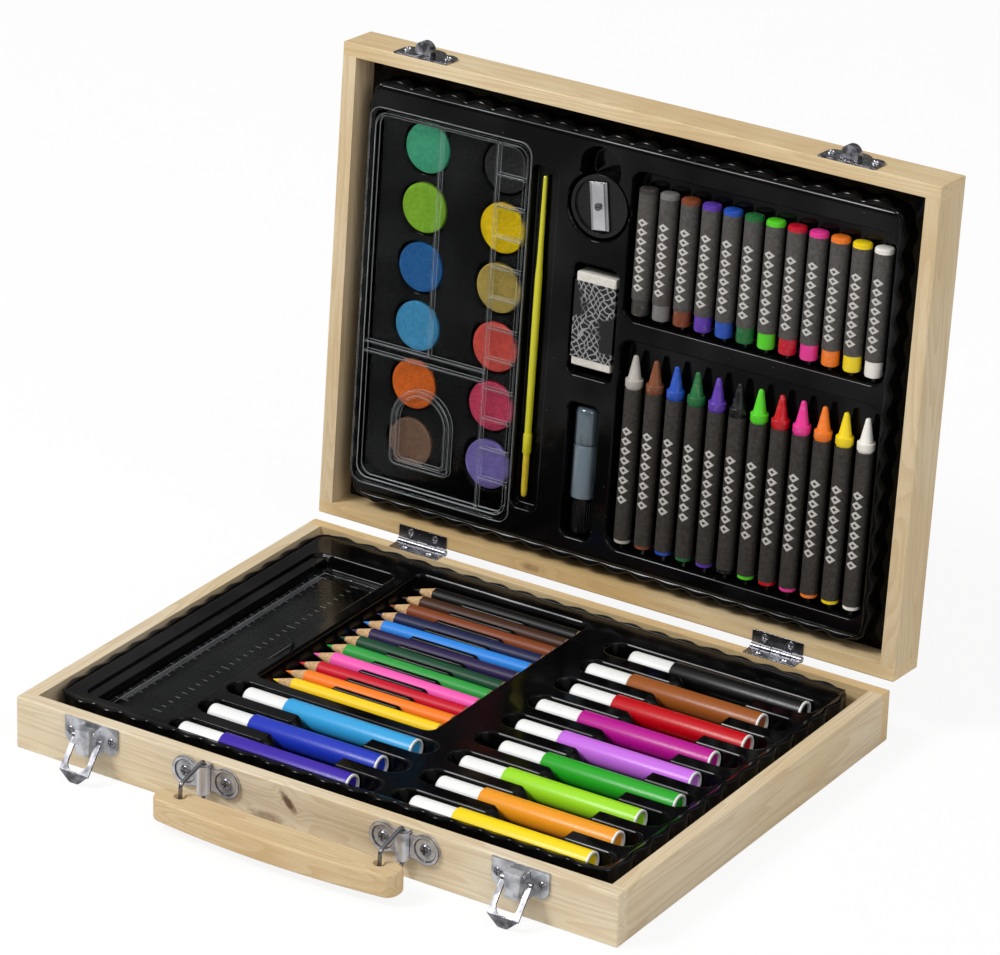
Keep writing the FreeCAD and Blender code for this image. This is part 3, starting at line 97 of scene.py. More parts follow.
def opened(points: np.ndarray) -> np.ndarray:
    """Turns rows of x, y, z on the shut lid, in millimetres, to where they are in the open one."""
    y, z = points[:, 1] - HINGE_Y, points[:, 2] - HINGE_Z
    c, s = math.cos(OPEN_ANGLE), math.sin(OPEN_ANGLE)
    return np.stack([points[:, 0], HINGE_Y + y * c + z * s, HINGE_Z - y * s + z * c], axis=1)


class Half(Enum):
    """The two halves of the case, named as their CAD bodies."""

    BASE = "base"
    LID = "lid"

    def place(self, rows: Sequence[Triple] | np.ndarray) -> np.ndarray:
        """Turns rows of x, y and depth below this half's rim into places, in millimetres."""
        x, y, depth = np.array(rows).T
        if self is Half.BASE:
            return np.stack([x, y, BASE_RIM - depth], axis=1)
        return opened(np.stack([x, y, LID_RIM + depth], axis=1))

    def turn(self, heading: float) -> Vector:
        """Euler turn of a tool that lies along +X and faces +Z, laid in this half.

        Args:
            heading: Where the tool points in the half's own plan, from +X to +Y, in degrees.

        Returns:
            The turn as Euler angles.
        """
        if self is Half.BASE:
            return eulers(spin(heading, "Z"))
        return eulers(LID_TURN @ spin(heading, "Z") @ spin(180, "X"))


# Node trees


class Graph:
    """Adds nodes to a node tree and joins them."""

    def __init__(self, tree: NodeTree) -> None:
        """Takes an empty tree."""
        self.tree = tree

    def fill(self, node: Node, inputs: Mapping[int | str, object]) -> None:
        """Links each named or numbered input to a socket, or sets its value."""
        for key, value in inputs.items():
            if isinstance(value, NodeSocket):
                self.tree.links.new(value, node.inputs[key])
            else:
                node.inputs[key].default_value = value

    def node(self, kind: str, inputs: Mapping[int | str, object] | None = None,
             **settings: object) -> Node:
        """Adds one node.

        Args:
            kind: The node's type.
            inputs: Values or sockets by the input's name or number.
            settings: Properties of the node.

        Returns:
            The new node.
        """
        made = self.tree.nodes.new(kind)
        for key, value in settings.items():
            setattr(made, key, value)
        self.fill(made, inputs or {})
        return made

    def maths(self, operation: str, *values: object) -> NodeSocket:
        """One Math node."""
        return self.node("ShaderNodeMath", dict(enumerate(values)), operation=operation).outputs[0]

    def plus(self, first: object, second: object) -> NodeSocket:
        """The sum of two values."""
        return self.maths("ADD", first, second)

    def times(self, first: object, second: object) -> NodeSocket:
        """The product of two values."""
        return self.maths("MULTIPLY", first, second)


class Shader(Graph):
    """One material, whose patterns are laid out in millimetres."""

    def __init__(self, name: str) -> None:
        """Starts a material with one Principled surface."""
        self.material = bpy.data.materials.new(name)
        self.material.use_nodes = True
        self.material.node_tree.nodes.clear()
        super().__init__(self.material.node_tree)
        self.surface = self.node("ShaderNodeBsdfPrincipled")
        self.output = self.node("ShaderNodeOutputMaterial", {0: self.surface.outputs[0]})

    def plain(self, **values: object) -> None:
        """Sets or links inputs of the surface, named with underscores."""
        self.fill(self.surface, {key.replace("_", " "): value for key, value in values.items()})

    def place(self, scale: Sequence[float] = (1, 1, 1), move: Sequence[float] = (0, 0, 0),
              turn: Sequence[float] = (0, 0, 0)) -> NodeSocket:
        """Object coordinates in millimetres, then moved, turned and scaled.

        Args:
            scale: Size of one pattern unit along each axis, as units per millimetre.
            move: Shift of the pattern in pattern units.
            turn: Turn of the pattern in radians.

        Returns:
            A vector socket.
        """
        return self.node("ShaderNodeMapping", {
            "Vector": self.node("ShaderNodeTexCoord").outputs["Object"], "Location": move,
            "Rotation": turn, "Scale": [v / MM for v in scale]}).outputs[0]

    def noise(self, vector: NodeSocket, detail: float = 3.0, roughness: float = 0.55,
              distortion: float = 0.0) -> NodeSocket:
        """The grey value of a noise texture."""
        return self.node("ShaderNodeTexNoise", {
            "Vector": vector, "Scale": 1.0, "Detail": detail, "Roughness": roughness,
            "Distortion": distortion}).outputs[0]

    def grain(self, scale: float, detail: float = 3.0, roughness: float = 0.55,
              move: Sequence[float] = (0, 0, 0)) -> NodeSocket:
        """Noise that is alike in all directions, with its scale in units per millimetre."""
        return self.noise(self.place((scale,) * 3, move), detail, roughness)

    def between(self, value: NodeSocket, low: float, high: float, start: float = 0.0,
                end: float = 1.0) -> NodeSocket:
        """Maps a value from one range to another, held at both ends."""
        return self.node("ShaderNodeMapRange", {
            "Value": value, "From Min": low, "From Max": high, "To Min": start, "To Max": end,
        }, interpolation_type="SMOOTHSTEP").outputs[0]

    def mix(self, factor: object, first: NodeSocket | str, second: NodeSocket | str) -> NodeSocket:
        """Mixes two colours, each a socket or a hex code."""
        one, two = (tint(v) if isinstance(v, str) else v for v in (first, second))
        return self.node("ShaderNodeMix", {0: factor, 6: one, 7: two}, data_type="RGBA").outputs[2]

    def relief(self, height: NodeSocket, strength: float, depth: float) -> None:
        """Gives the surface a bump, its depth in millimetres."""
        bump = self.node("ShaderNodeBump", {"Height": height, "Strength": strength, "Distance": depth * MM})
        self.plain(Normal=bump.outputs[0])

    def reads(self, name: str, output: str = "Fac") -> NodeSocket:
        """An attribute of the mesh, as a value or as its Color."""
        made = self.node("ShaderNodeAttribute", attribute_name=name, attribute_type="GEOMETRY")
        return made.outputs[output]


# Finishes


@dataclass(frozen=True)
class Finish:
    """What all finishes share: a name, and a material made by painting a shader."""

    name: str

    def paint(self, s: Shader) -> None:
        """Lays the finish on the shader's surface."""
        raise NotImplementedError

    def build(self) -> Material:
        """Makes the material."""
        s = Shader(self.name)
        self.paint(s)
        return s.material


@dataclass(frozen=True)
class Knot:
    """A knot in a board: its place and its radius, in millimetres."""

    centre: Triple
    radius: float
    dark: float = 0.8
    slant: float = 0.0


@dataclass(frozen=True)
class Pine(Finish):
    """Planed pale pine whose grain runs along one axis."""

    grain: int
    pale: str = "e1d4ba"
    warm: str = "d7c39d"
    line: str = "b8966a"
    knots: tuple[Knot, ...] = ()
    seed: float = 0.0

    def stretch(self, along: float, across: float) -> Triple:
        """Scales for a pattern that is drawn out along the grain."""
        return tuple(along if axis == self.grain else across for axis in range(3))

    def distance(self, s: Shader, knot: Knot) -> NodeSocket:
        """How many radii away a knot's middle is."""
        squash = self.stretch(0.32, 1.0)
        turned = s.node("ShaderNodeVectorRotate", {
            "Vector": s.place(), "Center": knot.centre, "Axis": (0, 1, 0), "Angle": knot.slant})
        flat = s.node("ShaderNodeVectorMath", {0: turned.outputs[0], 1: squash}, operation="MULTIPLY")
        made = s.node("ShaderNodeVectorMath", {
            0: flat.outputs[0], 1: [c * k for c, k in zip(knot.centre, squash)]}, operation="DISTANCE")
        return s.maths("DIVIDE", made.outputs["Value"], knot.radius)

    def paint(self, s: Shader) -> None:
        """Lays growth lines, fibres, flecks and knots."""
        shift = (self.seed, self.seed * 0.7, self.seed * 1.3)
        swirl = s.noise(s.place(self.stretch(0.0035, 0.055), shift), 2.0, 0.5, 0.25)
        stain: NodeSocket | None = None
        for knot in self.knots:
            away = self.distance(s, knot)
            swirl = s.plus(swirl, s.times(s.maths("EXPONENT", s.times(away, -0.9)), 0.22))
            ragged = s.plus(away, s.times(s.grain(0.5), 0.8))
            spot = s.between(ragged, 0.75, 1.55, knot.dark, 0.0)
            stain = spot if stain is None else s.maths("MAXIMUM", stain, spot)
        rings = s.between(s.maths("FRACT", s.times(swirl, 17.0)), 0.25, 0.95)
        fibre = s.noise(s.place(self.stretch(0.02, 1.5), shift), 4.0, 0.6)
        fleck = s.between(s.noise(s.place(self.stretch(0.09, 3.2), shift), 2.0, 0.5), 0.64, 0.72)
        patch = s.grain(0.012, 2.0, move=shift)
        tone = s.mix(s.between(patch, 0.3, 0.75), self.pale, self.warm)
        tone = s.mix(s.times(rings, 0.3), tone, self.line)
        tone = s.mix(s.between(fibre, 0.35, 0.75, 0.0, 0.22), tone, self.line)
        tone = s.mix(s.times(fleck, 0.3), tone, "8e6a3f")
        if stain is not None:
            tone = s.mix(stain, tone, "5b3c22")
        s.plain(Base_Color=tone, Roughness=s.between(fibre, 0.3, 0.8, 0.5, 0.68), Specular_IOR_Level=0.32)
        s.relief(s.plus(s.times(fibre, 0.7), s.times(rings, 0.3)), 0.35, 0.25)


@dataclass(frozen=True)
class FormedPlastic(Finish):
    """Thin glossy sheet, drawn over a mould, with a faint orange peel and some dust."""

    name: str = "formed_black_sheet"
    colour: str = "060607"
    gloss: float = 0.09

    def paint(self, s: Shader) -> None:
        """Lays dust, an uneven gloss and a slow sag."""
        sag, peel, film = s.grain(0.03, 2.0), s.grain(0.35, 2.0), s.grain(0.02, 2.0, move=(4, 9, 2))
        cells = s.node("ShaderNodeTexVoronoi", {"Vector": s.place((0.16,) * 3), "Scale": 1.0})
        dust = s.between(cells.outputs["Distance"], 0.03, 0.06, 1.0, 0.0)
        s.plain(Base_Color=s.mix(s.times(dust, 0.12), self.colour, "b9b7b2"),
                Specular_IOR_Level=s.between(film, 0.35, 0.7, 0.1, 0.26),
                Roughness=s.between(sag, 0.35, 0.7, self.gloss, self.gloss + 0.06))
        s.relief(s.plus(sag, s.times(peel, 0.03)), 0.5, 1.2)


@dataclass(frozen=True)
class PlatedSteel(Finish):
    """Stamped sheet steel with fine scratches and a cloudy darkening, partly mottled plating and partly
    painted dark reflections.
    """

    colour: str
    gloss: float
    # shade: how far the clouds darken the colour towards black; mottled plating, and painted dark
    # reflections where it is high
    shade: float = 0.25
    ripple: float = 0.07
    depth: float = 0.12
    metallic: float = 1.0

    def paint(self, s: Shader) -> None:
        """Lays a cloudy tone (partly mottled plating, partly painted dark reflections), scratches and a
        ripple.
        """
        cloud = s.grain(self.ripple, 2.0)
        scratch = s.noise(s.place((0.25, 6.0, 3.0), turn=(0.3, 0.2, 0.5)), 2.0)
        # Clouds towards near black: mottled plating, and painted dark reflections where the shade is high
        tone = s.mix(s.between(cloud, 0.35, 0.7, 0.0, self.shade), self.colour, "101012")
        s.plain(Base_Color=tone, Metallic=self.metallic,
                Roughness=s.between(scratch, 0.3, 0.75, self.gloss, self.gloss + 0.1))
        s.relief(s.plus(cloud, s.times(scratch, 0.1)), 0.3, self.depth)


@dataclass(frozen=True)
class InkedPlastic(Finish):
    """Glossy moulded plastic that takes its colour from the mesh."""

    gloss: float = 0.3
    coat: float = 0.06
    worn: float = 0.03

    def paint(self, s: Shader) -> None:
        """Lays the ink, a little worn, under a thin coat."""
        grain = s.grain(0.9)
        tone = s.mix(s.between(grain, 0.3, 0.8, 0.0, self.worn), s.reads("ink", "Color"), "000000")
        s.plain(Base_Color=tone, Coat_Weight=self.coat, Coat_Roughness=0.12, Specular_IOR_Level=0.35,
                Roughness=s.between(grain, 0.3, 0.8, self.gloss, self.gloss + 0.1))
        s.relief(grain, 0.15, 0.1)


@dataclass(frozen=True)
class Satin(Finish):
    """Moulded plastic, rubber or printing ink in one colour, with a fine grain."""

    colour: str
    shade: str
    roughness: float
    coarse: float
    depth: float
    specular: float = 0.5

    def paint(self, s: Shader) -> None:
        """Lays two tones, finely and broadly mottled."""
        grain = s.grain(self.coarse, 4.0)
        both = s.plus(s.times(grain, 0.5), s.times(s.grain(0.05, 2.0), 0.5))
        s.plain(Base_Color=s.mix(s.between(both, 0.38, 0.62), self.colour, self.shade),
                Roughness=s.between(grain, 0.3, 0.7, self.roughness, self.roughness + 0.12),
                Specular_IOR_Level=self.specular)
        s.relief(grain, 0.3, self.depth)


@dataclass(frozen=True)
class ClearPlastic(Finish):
    """Clear formed plastic, with a slight haze where it is rough."""

    colour: str = "fafcfc"
    roughness: float = 0.0
    # Below 1, part of the colour shows as a pale sheet; the palette's and ruler's edges use this for
    # painted highlights
    density: float = 1.0
    bend: float = 1.045

    def paint(self, s: Shader) -> None:
        """Lays a see-through body with a glossy skin."""
        haze = s.grain(0.12)
        s.plain(IOR=self.bend, Transmission_Weight=self.density,
                Base_Color=s.mix(s.between(haze, 0.35, 0.7, 0.0, 0.08), self.colour, "c9d2d6"),
                Roughness=s.between(haze, 0.35, 0.7, self.roughness, self.roughness * 1.6))


@dataclass(frozen=True)
class SmokyPlastic(Finish):
    """Tinted plastic with painted shade towards its outline, where the surface turns from the view, under a
    hard gloss.
    """

    core: str
    # rim: painted shade at the outline, and the tone that the haze goes towards
    rim: str
    gloss: float = 0.1

    def paint(self, s: Shader) -> None:
        """Lays the core's tone, the rim's as painted shade where the surface turns away, and a haze."""
        haze = s.noise(s.place((0.16, 0.16, 0.05)))
        facing = s.node("ShaderNodeLayerWeight").outputs["Facing"]
        # Painted shade: darker where the surface turns away from the view
        tone = s.mix(s.between(facing, 0.2, 0.8), self.core, self.rim)
        s.plain(Base_Color=s.mix(s.between(haze, 0.4, 0.7, 0.0, 0.4), tone, self.rim), Coat_Weight=0.8,
                Roughness=s.between(haze, 0.35, 0.7, self.gloss, self.gloss + 0.08))


@dataclass(frozen=True)
class PressedPaint(Finish):
    """A dry cake of watercolour: chalky, mottled and speckled."""

    name: str = "pressed_watercolour"

    def paint(self, s: Shader) -> None:
        """Lays dark mottles and pale specks on the ink."""
        mottle, fine = s.grain(0.5, 5.0, 0.7), s.grain(2.4, 2.0)
        dark = s.mix(s.between(mottle, 0.38, 0.7, 0.0, 0.22), s.reads("ink", "Color"), "0e0c0c")
        s.plain(Base_Color=s.mix(s.between(fine, 0.52, 0.68, 0.0, 0.07), dark, "e8e4dc"),
                Roughness=0.82, Specular_IOR_Level=0.1)
        s.relief(s.plus(mottle, fine), 0.6, 0.4)


@dataclass(frozen=True)
class Wax(Finish):
    """Coloured wax with rubbed patches."""

    def paint(self, s: Shader) -> None:
        """Lays the ink, paler where it is rubbed."""
        rub = s.grain(0.4, 5.0, 0.65)
        s.plain(Base_Color=s.mix(s.between(rub, 0.5, 0.8, 0.0, 0.14), s.reads("ink", "Color"), "f2efe8"),
                Roughness=s.between(rub, 0.3, 0.8, 0.34, 0.55), Subsurface_Weight=0.08,
                Subsurface_Radius=(0.8 * MM, 0.6 * MM, 0.5 * MM))
        s.relief(rub, 0.3, 0.25)


@dataclass(frozen=True)
class SleevePaper(Finish):
    """Dark paper wrapped round a stick, with a printed row of plain lozenges."""

    colour: str
    shade: str
    first: float
    last: float
    pitch: float
    half_width: float = 3.0
    print_tone: str = "c6c3bd"

    def paint(self, s: Shader) -> None:
        """Lays the pattern by the run along the stick and the way round it."""
        run, side, fibre = s.reads("run"), s.reads("side"), s.grain(0.6, 5.0, 0.65)
        paper = s.mix(s.between(fibre, 0.3, 0.7), self.colour, self.shade)
        step = s.maths("SUBTRACT", s.maths("FRACT", s.maths("DIVIDE", run, self.pitch)), 0.5)
        across = s.maths("DIVIDE", s.maths("ABSOLUTE", side), self.half_width)
        outline = s.plus(s.times(s.maths("ABSOLUTE", step), 2.1), across)
        shape = s.maths("SUBTRACT", s.between(outline, 0.86, 0.98, 1.0, 0.0),
                        s.between(outline, 0.3, 0.42, 1.0, 0.0))
        span = s.times(s.between(run, self.first - 0.1, self.first + 0.1),
                       s.between(run, self.last - 0.1, self.last + 0.1, 1.0, 0.0))
        ink = s.times(shape, s.times(span, s.between(fibre, 0.2, 0.4, 0.55, 0.95)))
        s.plain(Base_Color=s.mix(ink, paper, self.print_tone), Specular_IOR_Level=0.4,
                Roughness=s.between(fibre, 0.3, 0.7, 0.5, 0.66))
        s.relief(fibre, 0.35, 0.12)


@dataclass(frozen=True)
class PencilBarrel(Finish):
    """A lacquered pencil: colour on the barrel, bare wood on the cone and the flat end."""

    name: str = "lacquered_pencil"
    cone: float = 11.0
    length: float = 86.0

    def paint(self, s: Shader) -> None:
        """Lays wood and lacquer by the run along the pencil."""
        run = s.reads("run")
        fibre = s.noise(s.place((0.12, 1.8, 1.8)), 4.0)
        wood = s.mix(s.between(fibre, 0.3, 0.75), "dcb98d", "b0875a")
        ragged = s.plus(run, s.times(s.grain(0.9), 1.4))
        painted = s.times(s.between(ragged, self.cone + 0.5, self.cone + 0.8),
                          s.between(run, self.length - 0.25, self.length - 0.1, 1.0, 0.0))
        worn = s.between(s.grain(0.7, 5.0, 0.7), 0.68, 0.8, 0.0, 0.25)
        lacquer = s.mix(worn, s.reads("ink", "Color"), "1a1714")
        s.plain(Base_Color=s.mix(painted, wood, lacquer), Specular_IOR_Level=0.25,
                Roughness=s.between(painted, 0.0, 1.0, 0.65, 0.42))
        s.relief(fibre, 0.2, 0.12)


@dataclass(frozen=True)
class PatternedCard(Finish):
    """A black card sleeve with a plain woven ornament in grey."""

    name: str = "black_card_sleeve"

    def paint(self, s: Shader) -> None:
        """Lays two crossing sets of fine wavy lines, in patches."""
        fibre, bend = s.grain(0.8, 4.0), s.grain(0.11, 2.0)
        sets = []
        for turn in (0.7, -0.7):
            along = s.node("ShaderNodeSeparateXYZ", {0: s.place(turn=(0, turn, 0))}).outputs[0]
            wave = s.plus(s.times(along, 0.4), s.times(bend, 3.2))
            band = s.maths("ABSOLUTE", s.maths("SUBTRACT", s.maths("FRACT", wave), 0.5))
            sets.append(s.between(band, 0.08, 0.15, 1.0, 0.0))
        patch = s.between(s.grain(0.07, 2.0, move=(9, 3, 5)), 0.42, 0.5)
        ink = s.times(s.times(s.maths("MAXIMUM", *sets), patch), 0.52)
        s.plain(Base_Color=s.mix(ink, "0b0b0c", "c4c4c6"), Roughness=0.38)
        s.relief(fibre, 0.2, 0.08)


class Steel(Enum):
    """The finishes of the metal fittings."""

    # The number after the gloss darkens clouds of the colour towards black: mottled plating, and painted
    # dark reflections where it is high
    BRIGHT = PlatedSteel("bright_plated_steel", "e4e5ea", 0.3, 0.6, 0.14, metallic=0.65)
    # A dark finish for rolled edges: painted dark reflections
    ROLLED = PlatedSteel("rolled_edge_steel", "3c3c41", 0.14)
    LEAF = PlatedSteel("hinge_leaf_steel", "8c8c91", 0.16)
    WIRE = PlatedSteel("wire_steel", "85858a", 0.16)
    HASP = PlatedSteel("hasp_steel", "a6a6ac", 0.3, 0.7, 0.2)
    DARK = PlatedSteel("dark_plated_steel", "a8a8ae", 0.08, 0.85, 0.28, 1.6)
    SCREW = PlatedSteel("screw_steel", "a4a4a9", 0.2)
    BLOCK = PlatedSteel("milled_light_metal", "b4b5b8", 0.3)
    BLADE = PlatedSteel("ground_blade", "e4e4e8", 0.22)
    BLADE_SCREW = PlatedSteel("blade_screw", "77777b", 0.22)


# Meshes and pieces


def shade_by_angle(mesh: Mesh, degrees: float = CREASE_DEG) -> None:
    """Smooths a mesh, and keeps edges sharper than an angle as creases."""
    shape = bmesh.new()
    shape.from_mesh(mesh)
    for face in shape.faces:
        face.smooth = True
    for edge in shape.edges:
        edge.smooth = edge.is_boundary or edge.calc_face_angle(math.pi) < math.radians(degrees)
    shape.to_mesh(mesh)
    shape.free()


def add_object(name: str, data: bpy.types.ID, material: Material | None = None) -> Object:
    """Puts a mesh, a camera or a lamp in the scene."""
    made = bpy.data.objects.new(name, data)
    bpy.context.scene.collection.objects.link(made)
    if material is not None:
        data.materials.append(material)
    return made


def settle(piece: Object, body: str, slot: str, *nodes: str) -> None:
    """Hands a finished piece to the frame.

    Args:
        piece: The finished object.
        body: The CAD body that it rides on.
        slot: The record's material slot; not used.
        nodes: The CAD nodes that it stands for.
    """
    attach(piece, body)
    if nodes:
        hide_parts(*nodes)
    log.info("made %s on %s", piece.name, body)


def dress(material: Material, *nodes: str) -> None:
    """Gives CAD nodes that stay in view their finish."""
    for node in nodes:
        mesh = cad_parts[node].data
        mesh.materials.clear()
        mesh.materials.append(material)
        log.info("dressed %s", node)


def softened(node: str, body: str, slot: str, material: Material, width: float, segments: int = 2,
             edge: Material | None = None) -> None:
    """Makes a copy of a CAD node with its sharp edges rolled over.

    Args:
        node: The CAD node to copy and stand for.
        body: The body that it rides on.
        slot: The record's material slot.
        material: Its finish.
        width: How far the edges are rolled, in millimetres.
        segments: Faces across each rolled edge.
        edge: Finish of the rolled edges, where it isn't the same: painted highlights or painted dark
            reflections on them.
    """
    shape = bmesh.new()
    shape.from_mesh(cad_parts[node].data)
    bmesh.ops.remove_doubles(shape, verts=shape.verts, dist=0.002 * MM)
    bmesh.ops.dissolve_limit(shape, angle_limit=math.radians(0.5), verts=shape.verts, edges=shape.edges)
    mesh = bpy.data.meshes.new(node + "_soft")
    shape.to_mesh(mesh)
    shape.free()
    shade_by_angle(mesh)
    piece = add_object(node + "_soft", mesh, material)
    bevel = piece.modifiers.new("rolled_edges", "BEVEL")
    bevel.width = width * MM
    bevel.segments = segments
    bevel.limit_method = "ANGLE"
    bevel.angle_limit = math.radians(ROLLED_FROM_DEG)
    bevel.harden_normals = True
    # The rolled edges take the edge finish, which paints highlights or dark reflections on them
    if edge is not None:
        mesh.materials.append(edge)
        bevel.material = 1
    settle(piece, body, slot, node)


def lathed(profile: Profile, segments: int = 28) -> Object:
    """A round solid along +X, with its run and its way round kept on the mesh.

    Args:
        profile: Pairs of run and radius in millimetres; a radius of zero closes an end.
        segments: Faces round the axis.

    Returns:
        An object for the repeat tree, which removes it later.
    """
    shape = bmesh.new()
    rings, runs, sides = [], [], []
    for run, radius in profile:
        ring = []
        for i in range(1 if radius <= 0 else segments):
            angle = 2 * math.pi * i / segments - math.pi
            y, z = -math.sin(angle) * radius, math.cos(angle) * radius
            ring.append(shape.verts.new((run * MM, y * MM, z * MM)))
            runs.append(run)
            sides.append(angle * radius)
        rings.append(ring)
    for one, two in zip(rings, rings[1:]):
        for i in range(segments):
            j = i + 1
            corners = (one[i % len(one)], one[j % len(one)], two[j % len(two)], two[i % len(two)])
            if len(set(corners)) > 2:
                shape.faces.new(dict.fromkeys(corners))
    bmesh.ops.recalc_face_normals(shape, faces=shape.faces)
    mesh = bpy.data.meshes.new("lathed")
    shape.to_mesh(mesh)
    shape.free()
    for label, values in (("run", runs), ("side", sides)):
        mesh.attributes.new(label, "FLOAT", "POINT").data.foreach_set("value", values)
    shade_by_angle(mesh)
    return add_object("lathed", mesh)


@dataclass
class Row:
    """Places of a part's copies in millimetres, their Euler turns and, where they differ, their inks."""

    spots: np.ndarray
    turns: list[Vector]
    inks: list[Colour] | None = None


class PieceTree(Graph):
    """A geometry node tree with named inputs, whose result is kept as a plain mesh."""

    def __init__(self, name: str, inputs: Mapping[str, str]) -> None:
        """Opens the tree.

        Args:
            name: Name of the tree.
            inputs: The kind of each input, by its name.
        """
        super().__init__(bpy.data.node_groups.new(name, "GeometryNodeTree"))
        face = self.tree.interface
        self.keys = {key: face.new_socket(key, in_out="INPUT", socket_type="NodeSocket" + kind).identifier
                     for key, kind in inputs.items()}
        face.new_socket("Pieces", in_out="OUTPUT", socket_type="NodeSocketGeometry")
        self.source = self.node("NodeGroupInput")

    def hand_out(self, inputs: Mapping[int | str, object]) -> None:
        """Sets copies on points, makes them real and gives them their finish."""
        copies = self.node("GeometryNodeInstanceOnPoints", inputs)
        real = self.node("GeometryNodeRealizeInstances", {0: copies.outputs[0]})
        painted = self.node("GeometryNodeSetMaterial", {
            0: real.outputs[0], "Material": self.source.outputs["Finish"]})
        self.node("NodeGroupOutput", {0: painted.outputs[0]})

    def bake(self, name: str, start: Mesh, values: Mapping[str, object]) -> Object:
        """Runs the tree and keeps what comes out.

        Args:
            name: Name of the new object.
            start: The mesh that the tree is run on.
            values: The tree's inputs by name, lengths in metres.

        Returns:
            The new object.
        """
        holder = add_object(name + "_holder", start)
        modifier = holder.modifiers.new("repeat", "NODES")
        modifier.node_group = self.tree
        for key, value in values.items():
            modifier[self.keys[key]] = value
        bpy.context.view_layer.update()
        graph = bpy.context.evaluated_depsgraph_get()
        result = bpy.data.meshes.new_from_object(holder.evaluated_get(graph), preserve_all_data_layers=True,
                                                 depsgraph=graph)
        holder.modifiers.clear()
        bpy.data.objects.remove(holder)
        result.name = name
        return add_object(name, result)


class RepeatTree(PieceTree):
    """Sets a copy of one prototype on each point of a mesh."""

    def __init__(self) -> None:
        """Builds the tree once, with its prototype and its finish as named inputs."""
        super().__init__("repeat_on_points", {
            "Points": "Geometry", "Prototype": "Object", "Finish": "Material"})
        given = self.source.outputs
        shape = self.node("GeometryNodeObjectInfo", {"Object": given["Prototype"]})
        turn = self.node("GeometryNodeInputNamedAttribute", {"Name": "turn"}, data_type="FLOAT_VECTOR")
        self.hand_out({"Points": given["Points"], "Instance": shape.outputs["Geometry"],
                       "Rotation": turn.outputs["Attribute"]})

    def copy(self, name: str, prototype: Object, material: Material, row: Row) -> Object:
        """Makes one plain mesh of all the copies.

        Args:
            name: Name of the new piece.
            prototype: What is repeated. It is removed afterwards.
            material: The finish of every copy.
            row: Places, turns and inks; an ink is kept on the mesh as the attribute ink.

        Returns:
            The new object.
        """
        mesh = bpy.data.meshes.new(name + "_points")
        mesh.from_pydata((row.spots * MM).tolist(), [], [])
        layer = mesh.attributes.new("turn", "FLOAT_VECTOR", "POINT")
        layer.data.foreach_set("vector", [v for turn in row.turns for v in turn])
        if row.inks is not None:
            layer = mesh.attributes.new("ink", "FLOAT_COLOR", "POINT")
            layer.data.foreach_set("color", [v for ink in row.inks for v in ink])
        made = self.bake(name, mesh, {"Prototype": prototype, "Finish": material})
        bpy.data.objects.remove(prototype)
        shade_by_angle(made.data)
        return made

    def turned(self, name: str, body: str, slot: str, node: str, finish: Finish, row: Row, profile: Profile,
               around: int = 28) -> None:
        """Makes a row of lathed parts and hands it to the frame.

        Args:
            name: Name of the new piece.
            body: The CAD body that it rides on.
            slot: The record's material slot.
            node: The CAD node that it stands for, or nothing.
            finish: The finish of every copy.
            row: Places, turns and inks.
            profile: Pairs of run and radius in millimetres.
            around: Faces round the axis.
        """
        made = self.copy(name, lathed(profile, around), finish.build(), row)
        settle(made, body, slot, *([node] if node else []))


class TickTree(PieceTree):
    """Lays a row of bars, longer at every fifth and tenth.

    Attributes:
        at_fifths: How much longer a fifth bar is, as a share of a short one.
        at_tenths: How much a tenth bar adds to that.
    """

    at_fifths = 0.45
    at_tenths = 0.55

    def __init__(self) -> None:
        """Builds the tree with the count, the pitch and the bar's size as named inputs."""
        super().__init__("row_of_ticks", {
            "Count": "Int", "Pitch": "Float", "Short": "Float", "Width": "Float", "Thickness": "Float",
            "Finish": "Material"})
        given = self.source.outputs
        step = self.node("ShaderNodeCombineXYZ", {1: given["Pitch"]})
        line = self.node("GeometryNodeMeshLine", {"Count": given["Count"], "Offset": step.outputs[0]})
        longer = self.maths("MULTIPLY_ADD", self.every(5), self.at_fifths, 1.0)
        longest = self.maths("MULTIPLY_ADD", self.every(10), self.at_tenths, longer)
        size = self.node("ShaderNodeCombineXYZ", {0: longest, 1: 1.0, 2: 1.0})
        box = self.node("ShaderNodeCombineXYZ", {
            0: given["Short"], 1: given["Width"], 2: given["Thickness"]})
        bar = self.node("GeometryNodeMeshCube", {"Size": box.outputs[0]})
        self.hand_out({"Points": line.outputs[0], "Instance": bar.outputs[0], "Scale": size.outputs[0]})

    def every(self, count: int) -> NodeSocket:
        """A value that is 1 at every so many, and 0 elsewhere."""
        index = self.node("GeometryNodeInputIndex").outputs[0]
        return self.maths("LESS_THAN", self.maths("MODULO", index, float(count)), 0.5)


# Studio


